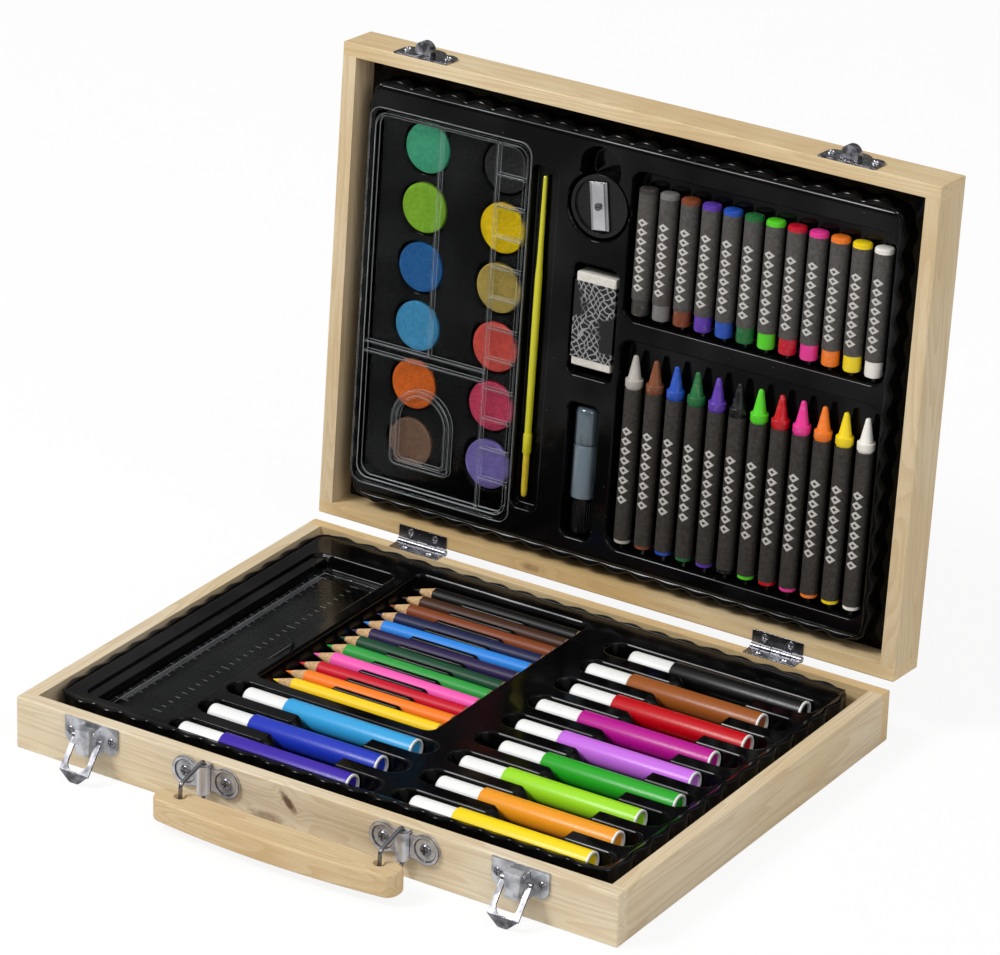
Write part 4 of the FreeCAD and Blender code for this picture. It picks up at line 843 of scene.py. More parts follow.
@dataclass
class Studio:
    """Camera, floor and lamps, in metres."""

    eye: Triple = (1.05007, -1.66586, 1.01094)
    right: Triple = (0.842805, 0.537419, 0.029342)
    down: Triple = (0.243091, -0.331455, -0.911616)
    ahead: Triple = (-0.480194, 0.775447, -0.409994)
    lens: float = 185.318
    sensor: float = 36.0
    floor_half: float = 6.0
    aim: Triple = (0.0, 0.0, 0.08)

    def place_camera(self) -> None:
        """Puts the camera where the photograph was taken from."""
        data = bpy.data.cameras.new("photo_camera")
        data.lens, data.sensor_width, data.sensor_fit = self.lens, self.sensor, "HORIZONTAL"
        data.clip_start, data.clip_end = 0.05, 50.0
        camera = add_object("photo_camera", data)
        rows = Matrix((self.right, [-v for v in self.down], [-v for v in self.ahead])).transposed()
        camera.matrix_world = Matrix.Translation(self.eye) @ rows.to_4x4()
        bpy.context.scene.camera = camera

    def lay_floor(self) -> None:
        """A pale floor that looks white to the camera and still takes a soft shadow."""
        s = Shader("studio_floor")
        s.plain(Base_Color=s.mix(s.grain(0.02, 2.0), "fafafa", "f4f4f4"), Roughness=0.9,
                Specular_IOR_Level=0.1)
        path = s.node("ShaderNodeLightPath").outputs
        mirrored = s.maths("MAXIMUM", path["Is Glossy Ray"], path["Is Transmission Ray"])
        glow = s.node("ShaderNodeEmission", {
            "Color": WHITE, "Strength": s.maths("SUBTRACT", 1.0, s.times(mirrored, 0.45))})
        seen = s.maths("MAXIMUM", path["Is Camera Ray"], mirrored)
        mixed = s.node("ShaderNodeMixShader", {
            0: s.times(seen, 0.88), 1: s.surface.outputs[0], 2: glow.outputs[0]})
        s.fill(s.output, {0: mixed.outputs[0]})
        half = self.floor_half
        mesh = bpy.data.meshes.new("floor")
        corners = [(-half, -half, 0), (half, -half, 0), (half, half, 0), (-half, half, 0)]
        mesh.from_pydata(corners, [], [(0, 1, 2, 3)])
        add_object("floor", mesh, s.material)

    def light_world(self) -> None:
        """Pale light that grows from the horizon up, and a white background for the camera."""
        world = bpy.data.worlds.new("studio_air")
        bpy.context.scene.world = world
        world.use_nodes = True
        world.node_tree.nodes.clear()
        sky = Graph(world.node_tree)
        split = sky.node("ShaderNodeSeparateXYZ", {0: sky.node("ShaderNodeTexCoord").outputs["Generated"]})
        rise = sky.node("ShaderNodeMapRange", {
            "Value": split.outputs[2], "From Min": 0.35, "From Max": 0.95, "To Min": 0.16, "To Max": 0.8})
        even = sky.node("ShaderNodeBackground", {"Color": WHITE, "Strength": rise.outputs[0]})
        white = sky.node("ShaderNodeBackground", {"Color": WHITE, "Strength": 1.0})
        path = sky.node("ShaderNodeLightPath")
        mixed = sky.node("ShaderNodeMixShader", {
            0: path.outputs["Is Camera Ray"], 1: even.outputs[0], 2: white.outputs[0]})
        sky.node("ShaderNodeOutputWorld", {0: mixed.outputs[0]})

    def add_lamp(self, name: str, place: Triple, size: float, power: float) -> None:
        """A square soft lamp aimed at the middle of the case."""
        data = bpy.data.lights.new(name, "AREA")
        data.shape, data.size, data.energy = "SQUARE", size, power
        lamp = add_object(name, data)
        lamp.location = place
        lamp.rotation_euler = (Vector(self.aim) - Vector(place)).to_track_quat("-Z", "Y").to_euler()

    def build(self) -> None:
        """Sets up the whole studio."""
        bpy.context.scene.view_settings.view_transform = "Standard"
        self.place_camera()
        self.lay_floor()
        self.light_world()
        self.add_lamp("key", (-1.3, -1.5, 2.2), 0.9, 54.0)
        self.add_lamp("fill", (2.2, -0.9, 1.6), 1.6, 18.0)


# Case and fittings


@dataclass
class WoodenCase:
    """Rails and panels of both halves."""

    front: tuple[Knot, ...] = (Knot((-9.5, FRONT, 16.6), 2.2, 0.9, -0.8),
                               Knot((-20.0, FRONT, 6.4), 3.4, 0.55))
    top: tuple[Knot, ...] = (Knot((12.0, 150.0, 246.0), 3.0, 0.45),)
    foot: tuple[Knot, ...] = (Knot((-35.0, 114.0, 30.0), 2.4, 0.5),)

    def build(self) -> None:
        """Gives each board its own cut of pine, by the axis that its grain runs along."""
        x, y, z = range(3)
        for pine, *nodes in (
                (Pine("pine_front", x, knots=self.front, seed=3.0), "base_front_rail"),
                (Pine("pine_back", x, "dfc99f", "d2b27b", seed=17.0), "base_back_rail"),
                (Pine("pine_sides", y, "ddcdb1", seed=41.0), "base_left_rail", "base_right_rail"),
                (Pine("pine_lid_top", x, "dfcda8", "d0b486", knots=self.top, seed=57.0), "lid_front_rail"),
                (Pine("pine_lid_foot", x, "dfc99f", "d2b27b", knots=self.foot, seed=73.0), "lid_back_rail"),
                (Pine("pine_uprights", z, "dac7a5", "cfb78c", seed=91.0), "lid_left_rail",
                 "lid_right_rail"),
                (Pine("ply_base", x, "d9c6a6", "cdb68f", seed=23.0), "base_panel"),
                (Pine("ply_lid", z, "d9c6a6", "cdb68f", seed=29.0), "lid_panel")):
            dress(pine.build(), *nodes)


def pairs(left: float, right: float, pitch: float) -> tuple[float, ...]:
    """Where the screws of two alike fittings are along x, two in each."""
    return tuple(centre + side * pitch for centre in (left, right) for side in (-0.5, 0.5))


@dataclass(frozen=True)
class Screws:
    """Alike screw heads of two fittings, in millimetres, placed with the lid shut."""

    name: str
    node: str
    half: Half
    xs: tuple[float, ...]
    y: float
    z: float
    tilt: float
    radius: float
    dome: float

    def head(self) -> Object:
        """A domed cross-head that faces +Z and stands on its origin."""
        steps, around, under = 12, 48, -0.2
        sink, arm, half = self.dome * 0.75, self.radius * 0.62, self.radius * 0.15
        verts = [(0.0, 0.0, self.dome - sink)]
        for share in (i / steps for i in range(1, steps + 1)):
            for angle in (2 * math.pi * j / around for j in range(around)):
                x, y = self.radius * share * math.cos(angle), self.radius * share * math.sin(angle)
                near = min(max(abs(x) - arm, abs(y) - half), max(abs(y) - arm, abs(x) - half))
                cross = min(1.0, max(0.0, 0.5 - near / (self.radius * 0.09)))
                verts.append((x, y, self.dome * math.sqrt(1 - share ** 2.6) - sink * cross))
        rim = len(verts) - around
        verts += [(x, y, under) for x, y, _ in verts[rim:]]
        sides = [(j, (j + 1) % around) for j in range(around)]
        faces = [(0, 1 + j, 1 + k) for j, k in sides]
        faces += [(ring + j, ring + around + j, ring + around + k, ring + k)
                  for ring in range(1, rim + 1, around) for j, k in sides]
        faces.append(tuple(rim + around + j for j in reversed(range(around))))
        mesh = bpy.data.meshes.new("screw_shape")
        mesh.from_pydata([(x * MM, y * MM, z * MM) for x, y, z in verts], [], faces)
        shade_by_angle(mesh, 50)
        return add_object("screw_shape", mesh)

    def build(self, repeat: RepeatTree) -> None:
        """Sets the heads and stands them for their CAD node."""
        places = np.array([(x, self.y, self.z) for x in self.xs])
        turn = spin(self.tilt, "X")
        if self.half is Half.LID:
            places, turn = opened(places), LID_TURN @ turn
        row = Row(places, [eulers(turn)] * len(places))
        made = repeat.copy(self.name + "_heads", self.head(), Steel.SCREW.value.build(), row)
        settle(made, self.half.value, "screw_steel", self.node)


LATCHES = pairs(-109.8, 104.1, 21.2)
HANDLE_PLATES = pairs(-50.5, 48.5, 20.6)
HINGES = pairs(-92.5, 92.5, 13.0)
LEAF_Y = 109.15


@dataclass
class Fittings:
    """Hinges, latches, keepers and the carrying handle."""

    repeat: RepeatTree
    screws: tuple[Screws, ...] = (
        Screws("latch_screw", "latch_screws", Half.BASE, LATCHES, FRONT - 0.8, 17.4, 90, 2.1, 0.9),
        Screws("keeper_screw", "keeper_screws", Half.LID, LATCHES, FRONT - 0.8, LID_RIM + 6.8, 90, 2.1,
               0.9),
        Screws("handle_screw", "handle_screws", Half.BASE, HANDLE_PLATES, FRONT - 0.9, 16.2, 90, 2.7, 1.3),
        Screws("hinge_screw", "hinge_base_screws", Half.BASE, HINGES, LEAF_Y, BASE_RIM + 0.03, 0, 1.9,
               0.5),
        Screws("hinge_lid_screw", "hinge_lid_screws", Half.LID, HINGES, LEAF_Y, LID_RIM - 0.03, 180, 1.9,
               0.5))
    grip: Pine = Pine("grip_pine", 0, "d5bf98", "caad80", "b08755",
                      (Knot((42.0, -138.0, 13.0), 1.2, 0.5),), 12.0)

    def build(self) -> None:
        """Rolls the edges of the sheet metal, paints dark reflections on the rolled edges of the latches
        and handle plates, and sets its screws.
        """
        # The rolled edges of latch plates, levers, hasps and handle plates take a dark finish as painted
        # dark reflections
        kinds = (Steel.BRIGHT, Steel.DARK, Steel.ROLLED, Steel.LEAF, Steel.WIRE, Steel.HASP)
        bright, dark, rolled, leaf, wire, hasp = (kind.value.build() for kind in kinds)
        for side in ("left", "right"):
            softened(f"latch_{side}_plate", "base", "plated_steel", bright, 0.35, 3, rolled)
            softened(f"latch_{side}_lever", f"lever_{side}", "plated_steel", bright, 0.3, 3, rolled)
            softened(f"latch_{side}_hasp", f"hasp_{side}", "plated_steel", hasp, 0.3, 3, rolled)
            for half in Half:
                softened(f"hinge_{side}_{half.value}_leaf", half.value, "plated_steel", leaf, 0.12)
            dress(bright, f"latch_{side}_hasp_pin")
            dress(wire, f"handle_{side}_loop")
        softened("handle_plates", "base", "plated_steel", bright, 0.6, 3, rolled)
        softened("keepers", "lid", "dark_plate", dark, 0.5, 3)
        dress(bright, "hinge_pins", "latch_lever_pins")
        dress(self.grip.build(), "handle_grip")
        for group in self.screws:
            group.build(self.repeat)


# Formed trays


def ease(t: np.ndarray) -> np.ndarray:
    """A soft step, held at 0 and 1."""
    t = np.clip(t, 0, 1)
    return t * t * (3 - 2 * t)


@dataclass
class Recess:
    """A round-cornered hollow of a formed tray, in millimetres."""

    x0: float
    x1: float
    y0: float
    y1: float
    floor: float
    corner: float = 3.0
    wall: float = 1.5
    spread: float = 0.35

    def sink(self, x: np.ndarray, y: np.ndarray) -> np.ndarray:
        """How far each point has gone down, from 0 at the top to 1 on the floor."""
        half_x, half_y = (self.x1 - self.x0) / 2, (self.y1 - self.y0) / 2
        r = min(self.corner, half_x * 0.999, half_y * 0.999)
        qx = np.abs(x - (self.x0 + self.x1) / 2) - (half_x - r)
        qy = np.abs(y - (self.y0 + self.y1) / 2) - (half_y - r)
        away = np.hypot(np.maximum(qx, 0), np.maximum(qy, 0)) + np.minimum(np.maximum(qx, qy), 0) - r
        return ease(0.5 - (away - self.spread) / self.wall)

    def lines(self) -> tuple[list[float], list[float]]:
        """Where the sheet needs close rows of points, along x and along y."""
        found = []
        for low, high in ((self.x0, self.x1), (self.y0, self.y1)):
            reach = min(self.corner, (high - low) / 2)
            count = int(reach / 0.95)
            insets = [*EDGE_INSETS, *(reach * i / count for i in range(count + 1))]
            found.append([low + v for v in insets] + [high - v for v in insets])
        return found[0], found[1]


@dataclass
class Channel(Recess):
    """A hollow whose left side is a slope, which starts sooner at the sides of each divider."""

    slope: float = 10.0
    divider: float = 68.5
    pitch: float = 21.0
    half: float = 4.6
    nosing: float = 5.0

    def sink(self, x: np.ndarray, y: np.ndarray) -> np.ndarray:
        """How far each point has gone down."""
        off = np.abs((y - self.divider + self.pitch / 2) % self.pitch - self.pitch / 2)
        sooner = self.nosing * (1 - np.sqrt(1 - np.clip(off / self.half, 0, 1) ** 2))
        left = (x - self.x0 + sooner) / self.slope
        right = 0.5 + (self.x1 + self.spread - x) / self.wall
        side = 0.5 + (np.minimum(y - self.y0, self.y1 - y) + self.spread) / self.wall
        return ease(np.minimum(np.minimum(left, right), side))

    def lines(self) -> tuple[list[float], list[float]]:
        """Close rows at the ends, and even rows down the slope."""
        xs, ys = super().lines()
        return xs + [self.x0 + self.slope * i / 10 for i in range(-5, 11)], ys


@dataclass
class Rib:
    """A low ridge between two tools, in millimetres."""

    x0: float
    x1: float
    y: float
    top: float
    half: float = 1.5
    slope: float = 5.0
    wall: float = 0.9

    def lift(self, x: np.ndarray, y: np.ndarray) -> np.ndarray:
        """How far each point is raised, from 0 on the floor to 1 on the ridge."""
        across = (self.half + self.wall / 2 - np.abs(y - self.y)) / self.wall
        ends = np.minimum(x - self.x0, self.x1 - x) / self.slope + 0.5
        return ease(np.minimum(across, ends))

    def lines(self) -> tuple[list[float], list[float]]:
        """Where the sheet needs close rows of points, along x and along y."""
        xs = [e + self.slope * k / 8 for e in (self.x0, self.x1) for k in range(-5, 6)]
        ys = [self.y + s * (self.half + k * 0.3) for s in (-1, 1) for k in (-4, -2, -1, 0, 1, 2)]
        return xs, ys + [self.y]


@dataclass
class FormedTray:
    """A drawn sheet with a fluted skirt, in millimetres; depths are below its half's rim."""

    half: Half
    x0: float
    x1: float
    y0: float
    y1: float
    top: float
    foot: float
    hollows: list[Recess]
    ribs: list[Rib]
    flange: bool = False
    pitch: float = 14.04
    wave: float = 2.0
    corner: float = 6.0
    lip: float = 1.0
    roll: float = 1.3
    sheet: float = 0.45
    widest_rows: float = 3.2

    def inset(self, margin: float) -> tuple[float, float, float, float]:
        """Low x, high x, low y and high y of the outline, drawn in by a margin."""
        return self.x0 + margin, self.x1 - margin, self.y0 + margin, self.y1 - margin

    def rows(self, wanted: list[float], low: float, high: float) -> np.ndarray:
        """Sorted lines of the sheet between two edges, none too close to the one before."""
        kept = [low]
        for value in sorted([*wanted, *np.arange(low, high, self.widest_rows), high]):
            if value - kept[-1] > CLOSEST_ROWS and value <= high:
                kept.append(value)
        kept[-1] = high
        return np.array(kept)

    def depth(self, x: np.ndarray, y: np.ndarray) -> np.ndarray:
        """Depth of the sheet at each point."""
        level = np.full_like(x, self.top)
        for hollow in self.hollows:
            level = np.maximum(level, self.top + (hollow.floor - self.top) * hollow.sink(x, y))
        for rib in self.ribs:
            raised = rib.lift(x, y)
            level = np.where(level > rib.top, level * (1 - raised) + rib.top * raised, level)
        return level

    def face_sheet(self) -> tuple[np.ndarray, list[tuple[int, ...]]]:
        """The top of the tray, as rows of x, y, depth and faces."""
        low_x, high_x, low_y, high_y = self.inset(self.wave + self.lip)
        lines = [shape.lines() for shape in (*self.hollows, *self.ribs)]
        xs = self.rows([v for along_x, _ in lines for v in along_x], low_x, high_x)
        ys = self.rows([v for _, along_y in lines for v in along_y], low_y, high_y)
        grid_x, grid_y = np.meshgrid(xs, ys, indexing="ij")
        points = np.stack([grid_x.ravel(), grid_y.ravel(), self.depth(grid_x, grid_y).ravel()], axis=1)
        r, ny = self.corner - self.lip, len(ys)
        past_x = np.abs((xs[:-1] + xs[1:]) / 2 - (low_x + high_x) / 2) - ((high_x - low_x) / 2 - r)
        past_y = np.abs((ys[:-1] + ys[1:]) / 2 - (low_y + high_y) / 2) - ((high_y - low_y) / 2 - r)
        faces = []
        for i, cx in enumerate(past_x):
            for j, cy in enumerate(past_y):
                if min(cx, cy) <= 0 or math.hypot(cx, cy) <= r - 0.2:
                    a = i * ny + j
                    faces.append((a, a + ny, a + ny + 1, a + 1))
        return points, faces

    def outline(self) -> tuple[np.ndarray, np.ndarray]:
        """Points round the tray on its waved edge, and the outward direction at each."""
        low_x, high_x, low_y, high_y = self.inset(self.wave)
        r, steps = self.corner, 9
        sides = (((low_x + r, low_y), (high_x - r, low_y), (0, -1)),
                 ((high_x, low_y + r), (high_x, high_y - r), (1, 0)),
                 ((high_x - r, high_y), (low_x + r, high_y), (0, 1)),
                 ((low_x, high_y - r), (low_x, low_y + r), (-1, 0)))
        points, outward = [], []
        for (ax, ay), (bx, by), (ox, oy) in sides:
            flutes = max(1, round(math.hypot(bx - ax, by - ay) / self.pitch))
            for i in range(flutes * steps):
                t = i / (flutes * steps)
                swell = self.wave * (0.5 - 0.5 * math.cos(2 * math.pi * t * flutes)) ** 0.8
                points.append((ax + (bx - ax) * t + ox * swell, ay + (by - ay) * t + oy * swell))
                outward.append((ox, oy))
            for k in range(steps):
                angle = math.atan2(oy, ox) + math.pi / 2 * k / steps
                c, s = math.cos(angle), math.sin(angle)
                points.append((bx - ox * r + r * c, by - oy * r + r * s))
                outward.append((c, s))
        return np.array(points), np.array(outward)

    def skirt(self) -> tuple[np.ndarray, list[tuple[int, ...]]]:
        """The rolled edge and the fluted wall, as rows of x, y, depth and faces."""
        edge, outward = self.outline()
        low_x, high_x, low_y, high_y = self.inset(self.wave)
        straight = np.clip(edge, (low_x, low_y), (high_x, high_y))
        level = self.top - SHEET_LIFT
        rings = [(straight - outward * (self.lip + 0.8), level), (edge - outward * self.roll, level)]
        for angle in (math.pi / 2 * k / 4 for k in range(1, 5)):
            rings.append((edge - outward * self.roll * (1 - math.sin(angle)),
                          self.top + self.roll * (1 - math.cos(angle))))
        rings.append((edge, self.foot - 1.2))
        if self.flange:
            middle = np.array([(self.x0 + self.x1) / 2, (self.y0 + self.y1) / 2])
            limit = np.array([INNER_X - 0.4, INNER_Y - 0.4])
            rings.append((edge + outward * 0.5, self.foot - 0.25))
            rings.append((np.clip((edge - middle) * 1.2, -limit, limit), self.foot))
        else:
            rings.append((edge, self.foot))
        count = len(edge)
        rows = np.concatenate([np.column_stack([ring, np.full(count, depth)]) for ring, depth in rings])
        faces = [(k + i, k + count + i, k + count + (i + 1) % count, k + (i + 1) % count)
                 for k in range(0, len(rows) - count, count) for i in range(count)]
        return rows, faces

    def build(self, material: Material) -> None:
        """Makes the tray and stands it for its CAD node."""
        body = self.half.value
        name = f"{body}_tray_sheet"
        top, top_faces = self.face_sheet()
        side, side_faces = self.skirt()
        points = self.half.place(np.concatenate([top, side])) * MM
        used, faces = np.unique(top_faces + [tuple(i + len(top) for i in face) for face in side_faces],
                                return_inverse=True)
        faces = faces.reshape(-1, 4)
        if self.half is Half.LID:
            faces = faces[:, ::-1]
        mesh = bpy.data.meshes.new(name)
        mesh.from_pydata(points[used].tolist(), [], faces.tolist())
        mesh.polygons.foreach_set("use_smooth", [True] * len(mesh.polygons))
        made = add_object(name, mesh, material)
        wall = made.modifiers.new("sheet", "SOLIDIFY")
        wall.thickness = self.sheet * MM
        wall.offset = -1.0
        log.info("%s has %d faces before its sheet", name, len(mesh.polygons))
        settle(made, body, "tray_plastic", f"{body}_tray")


def base_tray() -> FormedTray:
    """The base's tray: marker slots with their slopes, pencil pocket and ruler well."""
    slots = [(28.3, 131.6, y) for y in RIGHT_ROWS] + [(-83.4, 19.9, y) for y in LEFT_ROWS]
    hollows = [Recess(x0, x1, y - 5.95, y + 5.95, 10.35, 5.9) for x0, x1, y in slots]
    hollows += [
        Channel(68.6, 104.2, -94.0, 84.0, 10.35),
        Channel(-43.1, -7.5, -95.0, -42.9, 10.35, divider=67.5),
        Recess(-80.0, 9.7, -34.6, 92.5, 8.8, 4.0, 0.8),
        Recess(-129.6, -87.4, -90.5, 84.0, 2.4, 4.0, 1.2),
        Recess(-123.4, -87.4, -90.5, 84.0, 7.66, 3.0, 1.4),
        Recess(-103.9, -81.9, -19.0, 3.0, 7.66, 11.0)]
    ribs = [Rib(-50.5, -13.5, FIRST_PENCIL - PENCIL_PITCH * (i + 0.5), 2.5) for i in range(11)]
    return FormedTray(Half.BASE, -142.4, 137.7, -98.5, 105.7, 1.0, 21.1, hollows, ribs)


def lid_tray() -> FormedTray:
    """The lid's tray: paint box, pans, brush channel, tool wells and stick pockets."""
    hollows = [Recess(-133.6, -52.4, -83.6, 91.3, 7.3, 6.0)]
    hollows += [Recess(x - 12.1, x + 12.1, y - 12.1, y + 12.1, 10.5, 12.1, 1.3)
                for x in PAN_COLUMNS for y in PAN_ROWS]
    hollows += [
        Recess(-50.0, -37.6, -75.8, 83.2, 8.3),
        Recess(-30.8, -1.2, -79.4, -49.8, 13.9, 14.8),
        Recess(-25.4, -6.6, -90.8, -72.0, 13.9, 9.4),
        Recess(-25.5, -3.5, -36.6, 13.6, 13.3),
        Recess(-23.1, -8.9, 28.0, 90.0, 15.9),
        Recess(0.6, 129.0, -84.4, -17.6, 12.4, 6.0),
        Recess(0.6, 129.0, -7.0, 90.0, 11.8, 6.0)]
    return FormedTray(Half.LID, -137.0, 134.0, -99.0, 102.0, 3.5, 14.8, hollows, [], flange=True)


# Tools. Their profiles are pairs of run and radius in millimetres


class Inks(Enum):
    """The colours of each set of tools, in the order that they lie in."""

    MARKERS = "070708 9a5420 c20214 b9118f cb70e6 25a522 9ddf22 ef9a1c f8d90e 34a2dc 1c35b6 3a1fa4"
    PENCILS = "070708 432618 7f3f20 1c2247 2f86e0 2a1d48 15452c 2f9a3e f45cb2 c50d29 f47c1e fbcf1c"
    CRAYONS = "b7b3ab 7c4524 1f4fb4 1a6b34 5b34a6 070708 55d41f c20214 ea3494 f47c1e f8d90e f1eee6"
    PASTELS = "3b3835 7a7876 7f3f20 5b34a6 1f4fb4 1a6b34 55d41f c50d29 ea3494 f47c1e f8d90e f1eee6"
    PAINTS = "44a67e 86b82e 22609c 4496c4 e2681f 7e5f4c 2e2e2f f2ca00 b49a4c dd5248 ce3f5f 7f6fb6"
    BRUSH = "d2cc1e"
    BRUSH_CAP = "d9c02c"

    @property
    def linear(self) -> list[Colour]:
        """The colours as linear light."""
        return [tint(code) for code in self.value.split()]


@dataclass
class Markers:
    """Felt-tip markers: nose, barrel, end ring and end plug."""

    repeat: RepeatTree
    radius: float = 5.45
    length: float = 87.0
    nose: float = 21.6
    nose_radius: float = 4.7
    depth: float = 4.6
    starts: tuple[float, ...] = (39.9, 30.9, 35.9, 31.9, 34.9, 39.9, 33.9, 35.9, 36.4, -75.6, -79.1, -79.6)

    def build(self) -> None:
        """Repeats each part of a marker twelve times."""
        spots = Half.BASE.place([(x, y, self.depth) for x, y in zip(self.starts, RIGHT_ROWS + LEFT_ROWS)])
        turns = [Half.BASE.turn(0)] * len(spots)
        plain, inked = Row(spots, turns), Row(spots, turns, Inks.MARKERS.linear)
        r, n, b, end = self.nose_radius, self.nose, self.radius, self.length
        white = Satin("white_cap_plastic", "f3f4f1", "e7e8e5", 0.3, 1.2, 0.05)
        self.repeat.turned("marker_nose_set", "markers", "marker_white", "marker_noses", white, plain, [
            (0, 0), (0, r - 1.6), (0.2, r - 0.9), (0.7, r - 0.35), (1.6, r), (1.65, r), (n - 0.4, r),
            (n - 0.05, r - 0.25), (n, r - 0.6), (n, 0)])
        body = InkedPlastic("marker_barrel_plastic")
        self.repeat.turned("marker_barrel_set", "markers", "marker_barrel", "marker_barrels", body, inked, [
            (n, r - 0.6), (n, b - 0.5), (n + 0.15, b - 0.15), (n + 0.5, b), (end - 0.9, b),
            (end - 0.85, b - 0.2)])
        ring = Satin("white_ring_plastic", "f0f1ee", "e2e3e0", 0.3, 1.2, 0.05)
        self.repeat.turned("marker_end_rings", "markers", "marker_white", "", ring, plain, [
            (end - 0.95, b - 0.5), (end - 0.9, b - 0.05), (end - 0.2, b - 0.05), (end, b - 0.35),
            (end, b - 0.95), (end - 0.3, b - 1.05), (end - 2.6, b - 1.05), (end - 2.7, b - 0.5)])
        plug = InkedPlastic("marker_plug_plastic")
        self.repeat.turned("marker_plug_set", "markers", "marker_plug", "marker_plugs", plug, inked, [
            (end - 2.9, 0), (end - 2.9, b - 1.15), (end - 1.2, b - 1.15), (end - 1.0, b - 1.6),
            (end - 1.4, b - 3.0), (end - 1.5, 0)])


@dataclass
class Pencils:
    """Sharpened colour pencils, each a little askew."""

    repeat: RepeatTree
    radius: float = 3.5
    length: float = 86.0
    cone: float = 11.0
    lead: float = 1.1
    tip: float = -76.8
    depth: float = 5.0
    askew: tuple[float, ...] = (0.4, 0.5, 0.3, 0.9, 1.3, 0.6, -0.7, -0.9, -0.8, 0.3, 0.4, 0.0)

    def build(self) -> None:
        """Repeats the barrel and the lead."""
        half, places = self.length / 2, []
        for i, angle in enumerate(map(math.radians, self.askew)):
            y = FIRST_PENCIL - i * PENCIL_PITCH - half * math.sin(angle)
            places.append((self.tip + half - half * math.cos(angle), y, self.depth))
        row = Row(Half.BASE.place(places), [Half.BASE.turn(v) for v in self.askew], Inks.PENCILS.linear)
        bare = self.lead / (self.radius / self.cone)
        r, c, lead, end = self.radius, self.cone, self.lead, self.length
        wood = PencilBarrel()
        self.repeat.turned("pencil_barrel_set", "pencils", "pencil_wood", "pencil_barrels", wood, row, [
            (bare, lead), (bare + 0.05, lead + 0.1), (c - 0.3, r - 0.2), (c, r - 0.05), (c + 0.6, r),
            (end - 0.35, r), (end, r - 0.35), (end, lead)], 24)
        wax = Wax("pencil_lead_wax")
        self.repeat.turned("pencil_lead_set", "pencils", "pencil_lead", "pencil_leads", wax, row, [
            (0.15, 0), (0.2, 0.16), (bare, lead), (bare + 0.3, lead), (end + 0.02, lead),
            (end + 0.02, 0)], 16)


@dataclass
class Sticks:
    """Pointed wax crayons and blunt pastels in their sleeves, in millimetres."""

    repeat: RepeatTree
    first: float = 6.6
    pitch: float = 10.53
    crayon_radius: float = 4.0
    crayon_length: float = 88.0
    pastel_radius: float = 4.3
    pastel_length: float = 58.0

    def rows(self, start: float, depth: float, inks: Inks) -> tuple[Row, Row]:
        """Twelve sticks side by side that point to the lid's free edge.

        Args:
            start: Where their near ends are.
            depth: How deep their middles lie.
            inks: Their colours.

        Returns:
            Their places and turns, without and with their inks.
        """
        spots = Half.LID.place([(self.first + i * self.pitch, start, depth) for i in range(12)])
        turns = [Half.LID.turn(90)] * len(spots)
        return Row(spots, turns), Row(spots, turns, inks.linear)

    def build(self) -> None:
        """Repeats the sticks, their sleeves and the pastels' coloured bands."""
        plain, inked = self.rows(-0.5, 7.5, Inks.CRAYONS)
        r, end = self.crayon_radius, self.crayon_length
        self.repeat.turned("crayon_set", "crayons", "wax", "crayon_sticks", Wax("crayon_wax"), inked, [
            (0, 0), (0.02, 0.75), (0.4, 1.1), (1.0, 1.25), (10.5, r - 1.0), (10.7, r - 0.9),
            (10.8, r - 0.15), (11.0, r), (14.1, r), (14.3, r - 0.12), (14.4, r - 0.6), (14.9, r - 0.6),
            (end - 0.5, r - 0.3), (end - 0.1, r - 0.7), (end, r - 1.2), (end, 0)])
        paper = SleevePaper("crayon_sleeve_paper", "3f3b36", "2a2723", 32.2, 69.0, 4.6)
        self.repeat.turned("crayon_sleeve_set", "crayons", "paper_sleeve", "crayon_sleeves", paper, plain, [
            (15.0, r - 0.25), (15.05, r), (end - 2.05, r), (end - 2.0, r - 0.25)])
        plain, inked = self.rows(-77.5, 7.8, Inks.PASTELS)
        r, end = self.pastel_radius, self.pastel_length
        core = r - 0.35
        self.repeat.turned("pastel_set", "pastels", "wax", "pastel_sticks", Wax("pastel_wax"), inked, [
            (0, 0), (0, core - 0.5), (0.15, core - 0.1), (0.5, core), (end - 0.9, core),
            (end - 0.3, core - 0.25), (end, core - 0.9), (end, 0)])
        band = InkedPlastic("pastel_band_paper", 0.5, 0.0, 0.3)
        self.repeat.turned("pastel_band_set", "pastels", "paper_sleeve", "", band, inked, [
            (0.6, core - 0.05), (0.65, r), (2.2, r)])
        paper = SleevePaper("pastel_sleeve_paper", "55524e", "413e3b", 13.0, 47.0, 4.25)
        self.repeat.turned("pastel_sleeve_set", "pastels", "paper_sleeve", "pastel_sleeves", paper, plain, [
            (2.2, r), (end - 7.55, r), (end - 7.5, core - 0.05)])


@dataclass
class PaintBox:
    """Cakes of watercolour under a clear palette."""

    repeat: RepeatTree
    foot: float = 10.2
    radius: float = 11.65

    def build(self) -> None:
        """Repeats the cakes, and clears the palette, with painted highlights on its rolled edges."""
        spots = Half.LID.place([(x, y, self.foot) for x in PAN_COLUMNS for y in PAN_ROWS])
        turn = eulers(LID_TURN @ spin(180, "X") @ spin(-90, "Y"))
        row, r = Row(spots, [turn] * len(spots), Inks.PAINTS.linear), self.radius
        self.repeat.turned("paint_cakes", "lid", "paint_cake", "paint_pans", PressedPaint(), row, [
            (0, 0), (0, r), (2.0, r), (2.4, r - 0.25), (2.6, r - 0.7), (2.42, r - 2.2), (2.3, r - 5),
            (2.25, 0)], 40)
        # The rolled edges get a pale, partly opaque finish: painted highlight lines
        rim = ClearPlastic("palette_edge", "d3d9dc", 0.1, 0.7, 1.4).build()
        clear = ClearPlastic("clear_palette").build()
        softened("palette", "palette", "clear_plastic", clear, 0.22, edge=rim)


